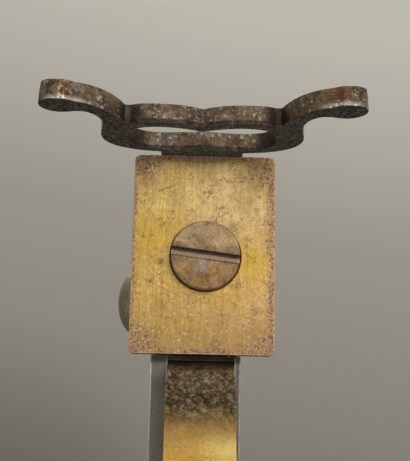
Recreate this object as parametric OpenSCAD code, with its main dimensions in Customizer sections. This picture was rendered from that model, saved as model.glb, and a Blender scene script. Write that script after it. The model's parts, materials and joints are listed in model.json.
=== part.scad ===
// Petrol table lighter shaped as a flintlock pistol.
// It stands on two scrolled front feet and the heel of its butt cap.
// +X is the muzzle, +Y the pistol's left side, +Z up. The origin is the middle of the
// whole object's outline in plan, at table height.
// Shapes are drawn from the middle of the tank's underside, which at_tank() puts in place.

/* [Stand] */
// Overall length, from the heads of the foot screws to the butt
total_l = 150; // [146:1:158]
// Height of the tank's underside above the table
stand_h = 21.5; // [20.5:0.1:22.5]
// Depth of the flats under the feet and the heel
rest_flat = 0.15; // [0.1:0.05:0.4]
// Distance between the outer ends of the feet
foot_span = 39.8; // [39:0.2:42]
// Thickness of the foot plate
foot_t = 2.5; // [2.0:0.1:3.0]
// Width of the part of the foot plate that is screwed to the tank
foot_neck_w = 11.6; // [11:0.2:13]
// Height of the top of the foot plate above the tank's underside
foot_top = 6.4; // [6:0.1:6.8]
// Distance that the foot plate is set off to the right
foot_aside = 0.5; // [0:0.1:0.8]
// Taper of the outer ends of the feet
foot_taper = 0.4; // [0.2:0.1:1]
// Radius of the ends of the hole in the foot plate
lobe_r = 4.65; // [4:0.05:4.7]
// Distance of those ends' centres from the middle
lobe_y = 5.35; // [5:0.05:5.6]
// Height of the band above the hole
foot_band = 2.8; // [2.7:0.1:3.2]

/* [Tank] */
// Width of the tank
tank_w = 20; // [19:0.5:22]
// Length of the tank
tank_l = 28.2; // [27.6:0.1:30]
// Height of the tank
tank_h = 22; // [22:0.25:23]
// Wall of the tank
wall = 1.2; // [1:0.1:1.4]
// Radius of the tank's upright edges
edge_r = 0.8; // [0.4:0.1:1.2]
// Lean of the tank's rear wall
breech_a = 3.6; // [0:0.2:4]
// Width of the bevels along the tank's top
top_bevel = 2.0; // [1.2:0.1:2.2]
// Thickness of the brass base plate
base_t = 2.0; // [1.8:0.1:2.4]
// Place of the filler, from the tank's middle towards the muzzle
filler_x = -0.5; // [-1:0.1:1]
// Place of the filler, from the tank's middle to the left
filler_y = 0.3; // [-0.5:0.1:0.5]
// Diameter of the filler screw's head
filler_head_d = 9.7; // [9:0.1:10.5]
// Height that the filler screw's head stands proud
filler_proud = 1.2; // [0.9:0.1:1.5]
// Diameter of the filler screw's thread
filler_d = 6.8; // [6:0.1:7.2]
// Length of the filler screw's thread
filler_l = 6; // [5:0.25:6.5]
// Width of the slot in the filler screw
slot_w = 1.2; // [0.8:0.05:1.4]

/* [Spark wheel] */
// Distance of the wheel's axle behind the middle of the tank
wheel_back = 5.0; // [4.7:0.1:5.2]
// Depth of the wheel's axle below the top of the tank
wheel_deep = 3.0; // [2.6:0.1:3.2]
// Radius of the spark wheel
wheel_r = 6.5; // [6.2:0.1:6.6]
// Width of the spark wheel
wheel_w = 4.6; // [4:0.1:4.8]
// Diameter of the axle
axle_d = 3.0; // [2.6:0.1:3.4]
// Diameter of the axle's domed head
dome_d = 10.6; // [9.5:0.1:11]
// Height of the domed head
dome_h = 3.3; // [2.4:0.1:3.6]
// Downward slope of the flint tube
flint_a = 20; // [18:0.5:21]
// Diameter of the flint
flint_d = 2.4; // [2.2:0.1:2.6]
// Outer diameter of the flint tube
flint_tube_d = 3.9; // [3.7:0.1:4.1]
// Diameter of the flint screw's head
flint_head_d = 5.6; // [5:0.1:5.8]

/* [Wick] */
// Distance of the wick in front of the middle of the tank
wick_x = 6.4; // [6.2:0.1:6.8]
// Diameter of the wick
wick_d = 2.2; // [2:0.1:2.4]
// Outer diameter of the wick tube
wick_tube_d = 3.4; // [3.2:0.1:3.8]
// Height of the wick tube above the tank
wick_rise = 2.3; // [2:0.1:2.6]
// Outer diameter of the snuffer cap
cap_d = 9.2; // [9:0.1:9.6]
// Height of the snuffer cap
cap_h = 6.4; // [6:0.1:7]

/* [Lock] */
// Length of the lock behind the tank
lock_l = 46; // [44:0.5:48]
// Thickness of the frame's right side
frame_t = 2.3; // [2:0.1:2.6]
// Thickness of the cover on the left side
cover_t = 0.8; // [0.8:0.1:1.2]
// Width of the space between the two sides
lock_gap = 9.2; // [8.8:0.1:9.4]
// Height of the lock's lower edge above the tank's underside
lock_low = 1.0; // [0.8:0.1:1.2]
// Depth of the lock's upper edge below the top of the tank
lock_deep = 0.5; // [0.2:0.1:0.7]
// Tooth size of the gears
gear_m = 1.0; // [0.97:0.01:1.02]
// Slope of the line from the cock's pivot to the wheel
train_a = 20; // [19:0.5:21]
// Thickness of the gears
gear_t = 1.6; // [1.4:0.05:1.7]
// Diameter of the cock's pivot
cock_pin_d = 3.0; // [2.6:0.1:3.2]
// Diameter of the small pins
pin_d = 2.0; // [1.6:0.1:2.2]
// Height of the jaws above the top of the tank
jaw_rise = 12; // [11.5:0.1:13]
// Turn of the trigger
trigger_pull = 20; // [16:0.5:20]

/* [Guard] */
// Thickness of the trigger guard's strap
guard_t = 1.6; // [1.4:0.1:1.8]
// Width of the strap where it leaves the lock
guard_w = 8.9; // [8:0.1:9]
// Width of the strap under the trigger
guard_bow_w = 9.0; // [8.6:0.1:9.6]
// Depth of the bow below the tank's underside
guard_drop = 11.8; // [11:0.1:12.4]

/* [Grip] */
// Width of the grip at the lock
grip_w = 14; // [13.6:0.2:15]
// Slope of the butt
butt_a = 34; // [31:0.5:36]
// Diameter of the butt cap
cap_band_d = 21.8; // [21:0.2:23]
// Length of the butt cap's band
cap_band_l = 3.2; // [2.6:0.1:4]
// Height of the butt cap's dome
butt_dome = 7.5; // [6.5:0.1:8]
// Wall of the butt cap
butt_wall = 1.3; // [1:0.1:1.6]
// Width of the tang along the top of the grip
tang_w = 5.6; // [5:0.1:6.4]
// Thickness of the tang
tang_t = 1.8; // [1.5:0.1:2]

/* [Hidden] */
$fn = 48;
eps = 0.01;
far = 200;

// Clearances
fit = 0.02;
run = 0.05;
air = 0.3;
seat = 0.1;
inlet = 0.06;

// Screws
small_head_d = 3.4;
small_head_h = 0.9;
small_d = 1.8;
small_slot = 0.5;
narrow_slot = 0.8;
long_d = small_d + 0.4;
thread_p = 0.75;
thread_h = 0.25;

// The tank's middle in the whole object
x_tank = total_l / 2 - small_head_h - foot_t - tank_l / 2;
front = tank_l / 2;
back = -tank_l / 2;
lock_back = back - lock_l;
side = tank_w / 2;

// Base plate and filler
recess_d = filler_head_d + 0.3;
washer_t = 0.5;
boss_d = filler_d + 2.6;
boss_h = 4.4;
filler_slot = 0.9;

// Gears: the cock's sector turns the idler, and the idler turns the wheel's pinion
sector_n = 16;
idler_n = 10;
pinion_n = 10;
cock_n = 8;
trigger_n = 20;
pressure = 25;
addendum = 0.75 * gear_m;
dedendum = 1.05 * gear_m;
backlash = 0.24;
sector_r = gear_m * sector_n / 2;
idler_r = gear_m * idler_n / 2;
pinion_r = gear_m * pinion_n / 2;
cock_r = gear_m * cock_n / 2;
trigger_r = gear_m * trigger_n / 2;
wheel_z = tank_h - wheel_deep;
lock_top = tank_h - lock_deep;
jaw_z = tank_h + jaw_rise;
wheel = [-wheel_back, wheel_z];
idler = wheel - (pinion_r + idler_r) * [cos(train_a), sin(train_a)];
cock_c = idler - (sector_r + idler_r) * [cos(train_a), sin(train_a)];
trigger_up = 4.44;
trigger_dir = asin((cock_c[1] - lock_low - trigger_up) / (cock_r + trigger_r));
trigger_c = cock_c - (cock_r + trigger_r) * [cos(trigger_dir), sin(trigger_dir)];
cock_turn = trigger_pull * trigger_n / cock_n;

// Layers across the lock: gears at both sides, the wheel, cock and trigger between
inside = lock_gap / 2;
right = -inside - frame_t;
left = inside + cover_t;
gear_out = inside - 0.25;
gear_in = gear_out - gear_t;
mid = gear_in - 0.2;
lip_in = mid + 0.25;
lip_low = cock_c[1] + sector_r + addendum + air;
lip_front = idler[0] - idler_r - addendum - air;

// Wheel well in the tank
well_front = wheel[0] + wheel_r + 0.6;
well_floor = idler[1] - idler_r - addendum - air;
well_side = 0.15;
chamber_back = well_front + 2.2;
cheek_front = well_front - 0.7;
function lean(z) = max(0, z - base_t) * tan(breech_a);

// Flint
flint_0 = wheel_r + 0.1;
flint_l = 4.4;
flint_out = (front - wheel[0]) / cos(flint_a);
flint_bore = flint_d + 0.3;
flint_thread_l = 3.2;
flint_head_h = 1.6;
spot_depth = 0.9;
spot_d = flint_head_d + 0.5;
spot_wall = 1.0;
flint_wire = 0.35;
flint_turns = 5.5;

// Snuffer
cap_r = cap_d / 2;
cap_wall = 0.8;
cap_low = tank_h + 0.15;
cap_pin_z = cap_low + cap_h + 1.9;
stem_t = 1.8;
stem_w = 4.0;
fork_w = 5.0;
lug_w = 2.2;
lug_r = 1.5;
snuffer_pin_d = 1.4;
jaw_screw_x = -9.5;
jaw_t = 2.8;

// Cock's slot in the top of the lock
slot_back = cock_c[0] - 16.8;
strap_t = 1.8;
wrist_top = 17.4;

// Grip's middle line, from the lock to the butt
grip_z = (lock_low + wrist_top) / 2;
grip_h = (wrist_top - lock_low) / 2;
cap_band_r = cap_band_d / 2;
butt_r = cap_band_r - 0.3;
butt_low = cap_band_l * sin(butt_a) + norm([sin(butt_a) * butt_dome, cos(butt_a) * cap_band_r]);
butt_reach = cap_band_l * cos(butt_a) + norm([cos(butt_a) * butt_dome, sin(butt_a) * cap_band_r]);
grip_0 = [lock_back, grip_z];
grip_3 = [front + foot_t + small_head_h - total_l + butt_reach, butt_low - stand_h - rest_flat];
grip_1 = grip_0 + [-24, 0.3];
grip_2 = grip_3 + 24 * [cos(butt_a), sin(butt_a)];
grip_widths = [grip_w / 2, grip_w / 2 - 0.3, grip_w / 2 + 0.3, grip_w / 2 + 2, butt_r];
grip_heights = [grip_h, grip_h - 0.2, grip_h + 0.4, grip_h + 1.6, butt_r];
tang_end = 0.3;
guard_end = 0.34;
tang_screw_t = 0.19;
plug_l = 2.6;
butt_head_d = 4.4;
plug_r = cap_band_r - butt_wall - seat;

// Points, curves and profiles

function mix(a, b, t) = a + (b - a) * t;

// A smooth curve through points, with n steps between each two
function spline(p, i, t) =
    let (n = len(p) - 1)
    let (a = p[max(i - 1, 0)], b = p[i], c = p[min(i + 1, n)], d = p[min(i + 2, n)])
    0.5 * (2 * b + (c - a) * t + (2 * a - 5 * b + 4 * c - d) * t * t
        + (3 * b - a - 3 * c + d) * t * t * t);
function smooth(p, n) = concat(
    [for (i = [0 : len(p) - 2]) for (k = [0 : n - 1]) spline(p, i, k / n)],
    [p[len(p) - 1]]);

// A value read along evenly spaced stations
function station(v, t) =
    let (s = min(max(t, 0), 1) * (len(v) - 1), i = min(floor(s), len(v) - 2))
    spline(v, i, s - i);

function unit(v) = v / norm(v);
function turn_left(v) = [-v[1], v[0]];
function heading(p, i) = unit(p[min(i + 1, len(p) - 1)] - p[max(i - 1, 0)]);

// A strip drawn along a line of points; half gives its half width at each share of its length
function strip(p, half) =
    let (n = len(p) - 1)
    concat(
        [for (i = [0 : n]) p[i] + turn_left(heading(p, i)) * station(half, i / n)],
        [for (i = [n : -1 : 0]) p[i] - turn_left(heading(p, i)) * station(half, i / n)]);

// Middle line of the grip, its rearward direction and its upward normal
function grip_at(t) =
    let (s = 1 - t)
    s * s * s * grip_0 + 3 * s * s * t * grip_1 + 3 * s * t * t * grip_2 + t * t * t * grip_3;
function grip_dir(t) =
    let (s = 1 - t)
    unit(s * s * (grip_1 - grip_0) + 2 * s * t * (grip_2 - grip_1) + t * t * (grip_3 - grip_2));
function grip_up(t) = let (d = grip_dir(t)) [d[1], -d[0]];
function grip_half_h(t) = station(grip_heights, t);
function grip_half_w(t) = station(grip_widths, t);
function grip_round(t) = mix(2.5, 2, min(1, t * 1.6));
function rounded(v, e) = sign(v) * pow(abs(v), 2 / e);
function grip_point(t, a) =
    let (c = grip_at(t), u = grip_up(t), e = grip_round(t))
    let (h = grip_half_h(t) * rounded(sin(a), e))
    [c[0] + u[0] * h, grip_half_w(t) * rounded(cos(a), e), c[1] + u[1] * h];

// Involute teeth
function inv(a) = tan(a) * 180 / PI - a;
function tooth_half(r, rp, rb) =
    (PI * gear_m / 2 - backlash) / 2 / rp * 180 / PI + inv(pressure)
    - inv(acos(min(1, rb / max(r, rb))));
function tooth(rp, at) =
    let (rb = rp * cos(pressure), ra = rp + addendum, rf = rp - dedendum)
    let (rr = [rf, for (k = [0 : 4]) mix(max(rb, rf + eps), ra, k / 4)])
    concat(
        [for (k = [0 : 5]) let (a = at - tooth_half(rr[k], rp, rb)) rr[k] * [cos(a), sin(a)]],
        [for (k = [5 : -1 : 0]) let (a = at + tooth_half(rr[k], rp, rb)) rr[k] * [cos(a), sin(a)]]);

// A gear with one tooth's middle at the angle given
module gear2d(n, at) {
    rp = gear_m * n / 2;
    polygon([for (i = [0 : n - 1]) each tooth(rp, at + 360 * i / n)]);
}

module wedge2d(r, a0, a1) {
    polygon(concat([[0, 0]], [for (k = [0 : 6]) let (a = mix(a0, a1, k / 6)) r * [cos(a), sin(a)]]));
}

// A flat piece drawn in the upright plane of the pistol, from y0 to y1
module slab(y0, y1) {
    translate([0, y1, 0])
        rotate([90, 0, 0])
            linear_extrude(y1 - y0)
                children();
}

// A round bar across the pistol
module bar_y(c, d, y0, y1) {
    translate([c[0], y0, c[1]])
        rotate([-90, 0, 0])
            cylinder(d = d, h = y1 - y0);
}

module rounded_rect(l, w, r) {
    square([l - 2 * r, w], center = true);
    square([l, w - 2 * r], center = true);
    for (x = [-1, 1], y = [-1, 1])
        translate([x * (l / 2 - r), y * (w / 2 - r)])
            circle(r);
}

module at_tank() {
    translate([x_tank, foot_aside, stand_h])
        children();
}

module at_foot() {
    at_tank()
        translate([0, -foot_aside, 0])
            children();
}

module at_filler() {
    translate([filler_x, filler_y, 0])
        children();
}

// A threaded bar along +Z, as rings
module thread(d, l) {
    n = floor(l / thread_p);
    rotate_extrude()
        polygon(concat(
            [[0, 0], [d / 2 - thread_h, 0]],
            [for (i = [0 : n - 1]) each [
                [d / 2 - thread_h, (i + 0.2) * thread_p],
                [d / 2, (i + 0.45) * thread_p],
                [d / 2, (i + 0.55) * thread_p],
                [d / 2 - thread_h, (i + 0.8) * thread_p]]],
            [[d / 2 - thread_h, l], [0, l]]));
}

// A small screw with its head's underside at z 0 and its shank along -Z
module small_screw(l) {
    difference() {
        union() {
            cylinder(d1 = small_head_d, d2 = small_head_d - 0.5, h = small_head_h);
            translate([0, 0, -l])
                cylinder(d = small_d, h = l + eps);
        }
        translate([-small_head_d, -small_slot / 2, small_head_h / 2])
            cube([2 * small_head_d, small_slot, small_head_h]);
    }
}

// An open coil of wire wound along +Z; its middle line has 8 places to a turn
function coil_line(r, wire, l, turns) =
    let (n = round(8 * turns))
    [for (i = [0 : n]) [r * cos(45 * i), r * sin(45 * i), wire / 2 + (l - wire) * i / n]];
function least_gap(p, wire) =
    min([for (i = [0 : len(p) - 5]) for (j = [i + 4 : len(p) - 1]) norm(p[j] - p[i])]) - wire;
module coil(r, wire, l, turns) {
    sides = 6;
    line = coil_line(r, wire, l, turns);
    n = len(line) - 1;
    echo(least_gap = least_gap(line, wire));
    points = [for (i = [0 : n]) for (k = [0 : sides - 1])
        let (b = 360 * k / sides, q = r + wire / 2 * cos(b))
        [q * cos(45 * i), q * sin(45 * i), line[i][2] + wire / 2 * sin(b)]];
    walls = [for (i = [0 : n - 1]) for (k = [0 : sides - 1])
        let (m = (k + 1) % sides, p = i * sides)
        each [[p + k, p + m, p + sides + k], [p + m, p + sides + m, p + sides + k]]];
    ends = concat(
        [for (k = [1 : sides - 2]) [0, k + 1, k]],
        [for (k = [1 : sides - 2]) [n * sides, n * sides + k, n * sides + k + 1]]);
    polyhedron(points, concat(walls, ends));
}

// Tank

module base_plate() {
    color("goldenrod")
        at_tank()
            difference() {
                union() {
                    linear_extrude(base_t)
                        rounded_rect(tank_l, tank_w, edge_r);
                    at_filler()
                        translate([0, 0, base_t - eps])
                            cylinder(d = boss_d, h = boss_h);
                }
                at_filler() {
                    translate([0, 0, -eps])
                        cylinder(d = recess_d, h = washer_t + seat + eps);
                    translate([0, 0, -1])
                        cylinder(d = filler_d + 2 * run, h = base_t + boss_h + 2);
                }
            }
}

module filler_washer() {
    color("saddlebrown")
        at_tank()
            at_filler()
                translate([0, 0, seat])
                    difference() {
                        cylinder(d = filler_head_d - 0.3, h = washer_t);
                        translate([0, 0, -1])
                            cylinder(d = filler_d + 2 * run, h = washer_t + 2);
                    }
}

module filler_screw() {
    rim = 0.25;
    color("rosybrown")
        at_tank()
            at_filler()
                difference() {
                    union() {
                        translate([0, 0, -filler_proud])
                            cylinder(d1 = filler_head_d - rim, d2 = filler_head_d, h = rim);
                        translate([0, 0, rim - filler_proud - eps])
                            cylinder(d = filler_head_d, h = filler_proud + seat - rim + eps);
                        translate([0, 0, seat - eps])
                            thread(filler_d, filler_l);
                    }
                    rotate(-83)
                        translate([-filler_head_d, -slot_w / 2, -filler_proud - 1])
                            cube([2 * filler_head_d, slot_w, filler_slot + 1]);
                }
}

// Side view of the well that the wheel and the front of the lock sit in
module well2d() {
    polygon([[back - 1, well_floor], [well_front, well_floor], [well_front, wheel_z - 2],
        [well_front + 1.1, tank_h + 1], [back - 1, tank_h + 1]]);
}

module flint_line(s) {
    translate([wheel[0], 0, wheel[1]])
        rotate([0, 90 + flint_a, 0])
            translate([0, 0, s])
                children();
}

// The tank's outer shape, less an amount all round
module tank_block(less) {
    intersection() {
        translate([0, 0, base_t + less])
            linear_extrude(tank_h - base_t - 2 * less)
                rounded_rect(tank_l - 2 * less, tank_w - 2 * less, edge_r);
        rotate([90, 0, 90])
            linear_extrude(tank_l + 2, center = true)
                polygon([[less - side, 0], [side - less, 0], [side - less, tank_h - top_bevel],
                    [side - top_bevel - less / 2, tank_h], [top_bevel + less / 2 - side, tank_h],
                    [less - side, tank_h - top_bevel]]);
        slab(-side - 1, side + 1)
            polygon([[back + less, 0], [back + less, base_t], [back + less + lean(tank_h), tank_h],
                [front + 1, tank_h], [front + 1, 0]]);
    }
}

// The tank's fuel space: low behind the wheel's well, and full height in front of it
module fuel_space(less) {
    low = well_floor - wall;
    intersection() {
        tank_block(wall + less);
        union() {
            translate([back, -side, 0])
                cube([tank_l, tank_w, low - less]);
            translate([chamber_back + less, -side, 0])
                cube([tank_l, tank_w, tank_h]);
        }
    }
}

module tank_box() {
    color("dimgray")
        at_tank()
            difference() {
                union() {
                    difference() {
                        tank_block(0);
                        fuel_space(0);
                        translate([back + wall + lean(base_t), wall - side, base_t - 1])
                            cube([tank_l - 2 * wall, tank_w - 2 * wall, wall + 2]);
                    }
                    intersection() {
                        tank_block(0);
                        flint_line(flint_out - spot_depth - spot_wall)
                            cylinder(d = spot_d + 2 * spot_wall, h = far);
                    }
                }
                slab(right - well_side, left + well_side)
                    well2d();
                bar_y(wheel, axle_d + 2 * fit, -side - 1, side + 1);
                for (m = [0, 1])
                    mirror([0, m, 0])
                        bar_y(breech_c, small_d + 2 * fit, inside, side + 1);
                flint_line(flint_0)
                    cylinder(d = flint_tube_d + 2 * fit, h = far);
                flint_line(flint_out - spot_depth)
                    cylinder(d = spot_d, h = far);
                translate([wick_x, 0, tank_h - 2 * wall])
                    cylinder(d = wick_tube_d + 2 * fit, h = far);
                translate([0, -foot_aside, 0])
                    foot_screw_places()
                        translate([0, 0, -wall - 1])
                            cylinder(d = small_d + 2 * fit, h = wall + 2);
            }
}

// Felted cotton that holds the petrol, cut round what runs through it
module wadding() {
    gap = 0.2;
    color("ivory")
        at_tank()
            difference() {
                fuel_space(gap);
                at_filler()
                    cylinder(d = boss_d + 2 * gap, h = base_t + boss_h + 0.8);
                flint_line(0)
                    cylinder(d = flint_tube_d + 2 * gap, h = far);
                flint_line(flint_out - spot_depth - spot_wall - gap)
                    cylinder(d = spot_d + 2 * (spot_wall + gap), h = far);
                translate([wick_x - wick_d / 2 - gap, -wick_d / 2 - gap, wick_low - gap])
                    cube([wick_d + 2 * gap, wick_out + wick_d + 2 * gap, tank_h]);
                translate([wick_x, 0, tank_h - 3 * wall])
                    cylinder(d = wick_tube_d + 2 * gap, h = 3 * wall);
                translate([front - wall - 4, -side, foot_top / 2 - 1.6])
                    cube([4, tank_w, 3.2]);
            }
}

// The wick goes down its tube, round the side of the flint tube and into the wadding
wick_bend = 2.0;
wick_out = 2 * wick_bend;
wick_low = well_floor - wall - 3;
wick_bend_z = tank_h - wall - 0.4;

// Path of the wick across and up, from its top to its lower end
function wick_path(top) = concat(
    [[0, top]],
    [for (k = [0 : 5]) let (a = 18 * k)
        [wick_bend - wick_bend * cos(a), wick_bend_z - wick_bend * sin(a)]],
    [for (k = [1 : 5]) let (a = 90 - 18 * k)
        [wick_bend + wick_bend * cos(a), wick_bend_z - 2 * wick_bend + wick_bend * sin(a)]],
    [[wick_out, wick_low]]);

// A round cord along a path across and up
module cord(path, d, sides) {
    n = len(path) - 1;
    points = [for (i = [0 : n]) for (k = [0 : sides - 1])
        let (a = 360 * k / sides, u = turn_left(heading(path, i)) * sin(a) * d / 2)
        [d / 2 * cos(a), path[i][0] + u[0], path[i][1] + u[1]]];
    walls = [for (i = [0 : n - 1]) for (k = [0 : sides - 1])
        let (m = (k + 1) % sides, p = i * sides)
        each [[p + k, p + m, p + sides + k], [p + m, p + sides + m, p + sides + k]]];
    first = [for (k = [sides - 1 : -1 : 0]) k];
    last = [for (k = [0 : sides - 1]) n * sides + k];
    polyhedron(points, concat(walls, [first, last]));
}

module wick() {
    color("tan")
        at_tank()
            translate([wick_x, 0, 0])
                cord(wick_path(tank_h + wick_rise + 1.4), wick_d, 12);
}

module wick_tube() {
    color("goldenrod")
        at_tank()
            translate([wick_x, 0, tank_h - wall])
                difference() {
                    union() {
                        cylinder(d = wick_tube_d, h = wall + wick_rise);
                        translate([0, 0, wall])
                            cylinder(d = wick_tube_d + 0.9, h = 0.5);
                    }
                    translate([0, 0, -1])
                        cylinder(d = wick_d + 0.1, h = wall + wick_rise + 2);
                }
}

// Flint and spark wheel

module flint_tube() {
    color("goldenrod")
        at_tank()
            difference() {
                intersection() {
                    flint_line(flint_0 + 0.6)
                        cylinder(d = flint_tube_d, h = flint_out - spot_depth - flint_0 - 0.6 - seat);
                    translate([well_front - 2, -side, 0])
                        cube([tank_l, tank_w, tank_h]);
                }
                flint_line(0)
                    cylinder(d = flint_bore, h = far);
            }
}

module flint() {
    color("slategray")
        at_tank()
            flint_line(flint_0)
                cylinder(d = flint_d, h = flint_l, $fn = 32);
}

spring_0 = flint_0 + flint_l + seat;
spring_1 = flint_out - spot_depth - flint_thread_l - seat;

module flint_spring() {
    color("silver")
        at_tank()
            flint_line(spring_0)
                coil(flint_d / 2 - 0.15, flint_wire, spring_1 - spring_0, flint_turns);
}

module flint_screw() {
    color("goldenrod")
        at_tank()
            flint_line(flint_out - spot_depth)
                difference() {
                    union() {
                        translate([0, 0, -flint_thread_l])
                            thread(flint_bore - 2 * run, flint_thread_l + eps);
                        cylinder(d = flint_head_d, h = flint_head_h - 0.3);
                        translate([0, 0, flint_head_h - 0.3 - eps])
                            cylinder(d1 = flint_head_d, d2 = flint_head_d - 0.6, h = 0.3);
                    }
                    translate([-narrow_slot / 2, -flint_head_d, flint_head_h - 0.8])
                        cube([narrow_slot, 2 * flint_head_d, 2]);
                    for (i = [0 : 15])
                        rotate((i + 0.5) * 360 / 16)
                            translate([flint_head_d / 2 + 0.15, 0, -1])
                                cylinder(d = 0.6, h = flint_head_h + 2, $fn = 16);
                }
}

module axle_screw() {
    color("darkslategray")
        at_tank()
            difference() {
                union() {
                    translate([wheel[0], -side, wheel[1]])
                        rotate([90, 0, 0])
                            rotate_extrude()
                                polygon(concat([[0, 0]], [for (k = [0 : 14])
                                    let (a = 90 * k / 14)
                                    [dome_d / 2 * cos(a), dome_h * sin(a)]]));
                    bar_y(wheel, axle_d, -side - eps, side);
                }
                translate([wheel[0] - dome_d, -side - dome_h - 1, wheel[1] - narrow_slot / 2])
                    cube([2 * dome_d, 1.9, narrow_slot]);
            }
}

module spark_wheel() {
    teeth = 30;
    color("gray")
        at_tank()
            translate([wheel[0], wheel_w / 2, wheel[1]])
                rotate([90, 0, 0])
                    difference() {
                        linear_extrude(wheel_w)
                            polygon([for (i = [0 : teeth - 1]) each [
                                wheel_r * [cos(i * 360 / teeth), sin(i * 360 / teeth)],
                                (wheel_r - 0.5) * [cos((i + 0.25) * 360 / teeth),
                                    sin((i + 0.25) * 360 / teeth)]]]);
                        translate([0, 0, -1])
                            cylinder(d = axle_d + 2 * run, h = wheel_w + 2);
                    }
}

module wheel_pinion() {
    color("goldenrod")
        at_tank()
            difference() {
                union() {
                    translate([wheel[0], 0, wheel[1]])
                        slab(-gear_out, -gear_in)
                            gear2d(pinion_n, 180 + train_a);
                    bar_y(wheel, axle_d + 2, -gear_in - eps, -wheel_w / 2);
                }
                bar_y(wheel, axle_d + 2 * run, -inside, inside);
            }
}

module wheel_bush() {
    color("goldenrod")
        at_tank()
            difference() {
                bar_y(wheel, axle_d + 2, wheel_w / 2, inside - seat);
                bar_y(wheel, axle_d + 2 * run, 0, inside + 1);
            }
}

module idler_gear() {
    color("goldenrod")
        at_tank()
            difference() {
                union() {
                    translate([idler[0], 0, idler[1]])
                        slab(-gear_out, -gear_in)
                            gear2d(idler_n, train_a + 180 / idler_n);
                    bar_y(idler, pin_d + 2, -gear_in - eps, inside - 0.25);
                }
                bar_y(idler, pin_d + 2 * run, -inside - 1, inside + 1);
            }
}

module idler_pin() {
    color("silver")
        at_tank()
            bar_y(idler, pin_d, right, left);
}

// Front foot

foot_edge = [[foot_neck_w / 2, -1.5], [8.8, -2.1], [11.4, -3.4], [13.0, -5.4], [13.55, -8.0],
    [13.1, -10.8], [12.8, -13.2], [13.3, -15.3], [14.4, -16.6], [15.7, -16.8]];
foot_under = [[15.3, -20.15], [13.8, -19.3], [12.2, -17.8], [10.9, -15.7], [10.0, -13.2]];
foot_end_r = 2.4;
foot_corner = 1.5;
foot_end = [foot_span / 2 - foot_end_r, foot_end_r - stand_h - rest_flat];
foot_tip = [17.5, -18.7];

// One half of the foot plate, seen from the front; a change of stand moves the foot's end
function foot_move(p) = let (s = min(max((-p[1] - 9) / 9, 0), 1))
    p + s * (foot_end - foot_tip);

// Right half of the outline, from the top middle to the cusp at the bottom
function foot_half() =
    let (n = foot_neck_w / 2, tip = foot_move(foot_tip))
    concat(
        [[0, foot_top]],
        [for (k = [0 : 4]) let (a = 90 - 22.5 * k)
            [n - foot_corner + foot_corner * cos(a), foot_top - foot_corner + foot_corner * sin(a)]],
        smooth([for (p = foot_edge) foot_move(p)], 4),
        [for (k = [0 : 12]) let (a = 105 - 225 * k / 12) tip + foot_end_r * [cos(a), sin(a)]],
        smooth([for (p = foot_under) foot_move(p)], 4),
        smooth([[9.3, -13.4], [8.0, -13.95], [5.6, -14.1], [2.8, -13.75], [1.0, -13.0], [0, -12.4]], 3));

// Right half of the hole: a full end, and arcs that meet in a cusp at the middle
lobe_e = 2.5;
function lobe_half() =
    let (z = -foot_band - lobe_r)
    concat(
        [for (k = [0 : 9]) let (u = k / 10) [u * lobe_y, -foot_band - 0.8 * pow(1 - u, 1.7)]],
        [for (k = [0 : 16]) let (a = 90 - 180 * k / 16)
            [lobe_y + lobe_r * rounded(cos(a), lobe_e), z + lobe_r * rounded(sin(a), lobe_e)]],
        [for (k = [9 : -1 : 0]) let (u = k / 10) [u * lobe_y, z - lobe_r + 1.6 * pow(1 - u, 1.7)]]);

module mirrored2d(half) {
    n = len(half);
    polygon(concat(half, [for (i = [n - 2 : -1 : 1]) [-half[i][0], half[i][1]]]));
}

module foot_screw_places() {
    for (y = [-1, 1])
        translate([front, y * (foot_neck_w / 2 - 2.5), foot_top / 2])
            rotate([0, 90, 0])
                children();
}

module front_foot() {
    color("sienna")
        at_foot()
            intersection() {
                difference() {
                    translate([front, 0, 0])
                        rotate([90, 0, 90])
                            linear_extrude(foot_t)
                                difference() {
                                    mirrored2d(foot_half());
                                    mirrored2d(lobe_half());
                                }
                    foot_screw_places()
                        cylinder(d = small_d + 2 * fit, h = far);
                }
                translate([0, 0, -stand_h])
                    linear_extrude(far)
                        polygon([[front, -foot_span / 2], [front + foot_t, foot_taper - foot_span / 2],
                            [front + foot_t, foot_span / 2 - foot_taper], [front, foot_span / 2]]);
            }
}

module foot_screws() {
    color("darkgoldenrod")
        at_foot()
            foot_screw_places()
                translate([0, 0, foot_t])
                    rotate(20)
                        small_screw(foot_t + wall + 0.8);
}

// Lock

breech_c = [back + 3.4, well_floor + 2.2];
post_c = [lock_back + 12.5, lock_low + 4.2];
block_l = 6.5;
cover_places = [post_c, [lock_back + 3.4, grip_z + 4.2], [lock_back + 3.4, grip_z - 4.2]];
cover_screw_l = 3.6;

// Side view of the lock, with its forward part in the tank's well
module lock_side2d() {
    bottom = well_floor + 0.15;
    polygon(concat(
        [[back - seat, lock_low], [back - seat, base_t], [back - seat + lean(bottom), bottom],
            [cheek_front, bottom], [cheek_front, lock_top]],
        [for (k = [0 : 10]) [mix(slot_back - 2, lock_back, k / 10),
            mix(lock_top, wrist_top, (1 - cos(18 * k)) / 2)]],
        [[lock_back, lock_low]]));
}

// Lips that narrow the slot for the cock
module lip2d() {
    translate([slot_back - eps, lip_low])
        square([lip_front - slot_back, lock_top - lip_low]);
}

module pin_holes() {
    for (c = [idler, trigger_c])
        bar_y(c, pin_d + 2 * fit, -far, far);
    bar_y(cock_c, cock_pin_d + 2 * fit, -far, far);
    bar_y(wheel, axle_d + 2 * fit, -far, far);
    bar_y(guard_pin_c, guard_pin_d + 2 * fit, -far, far);
}

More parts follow.
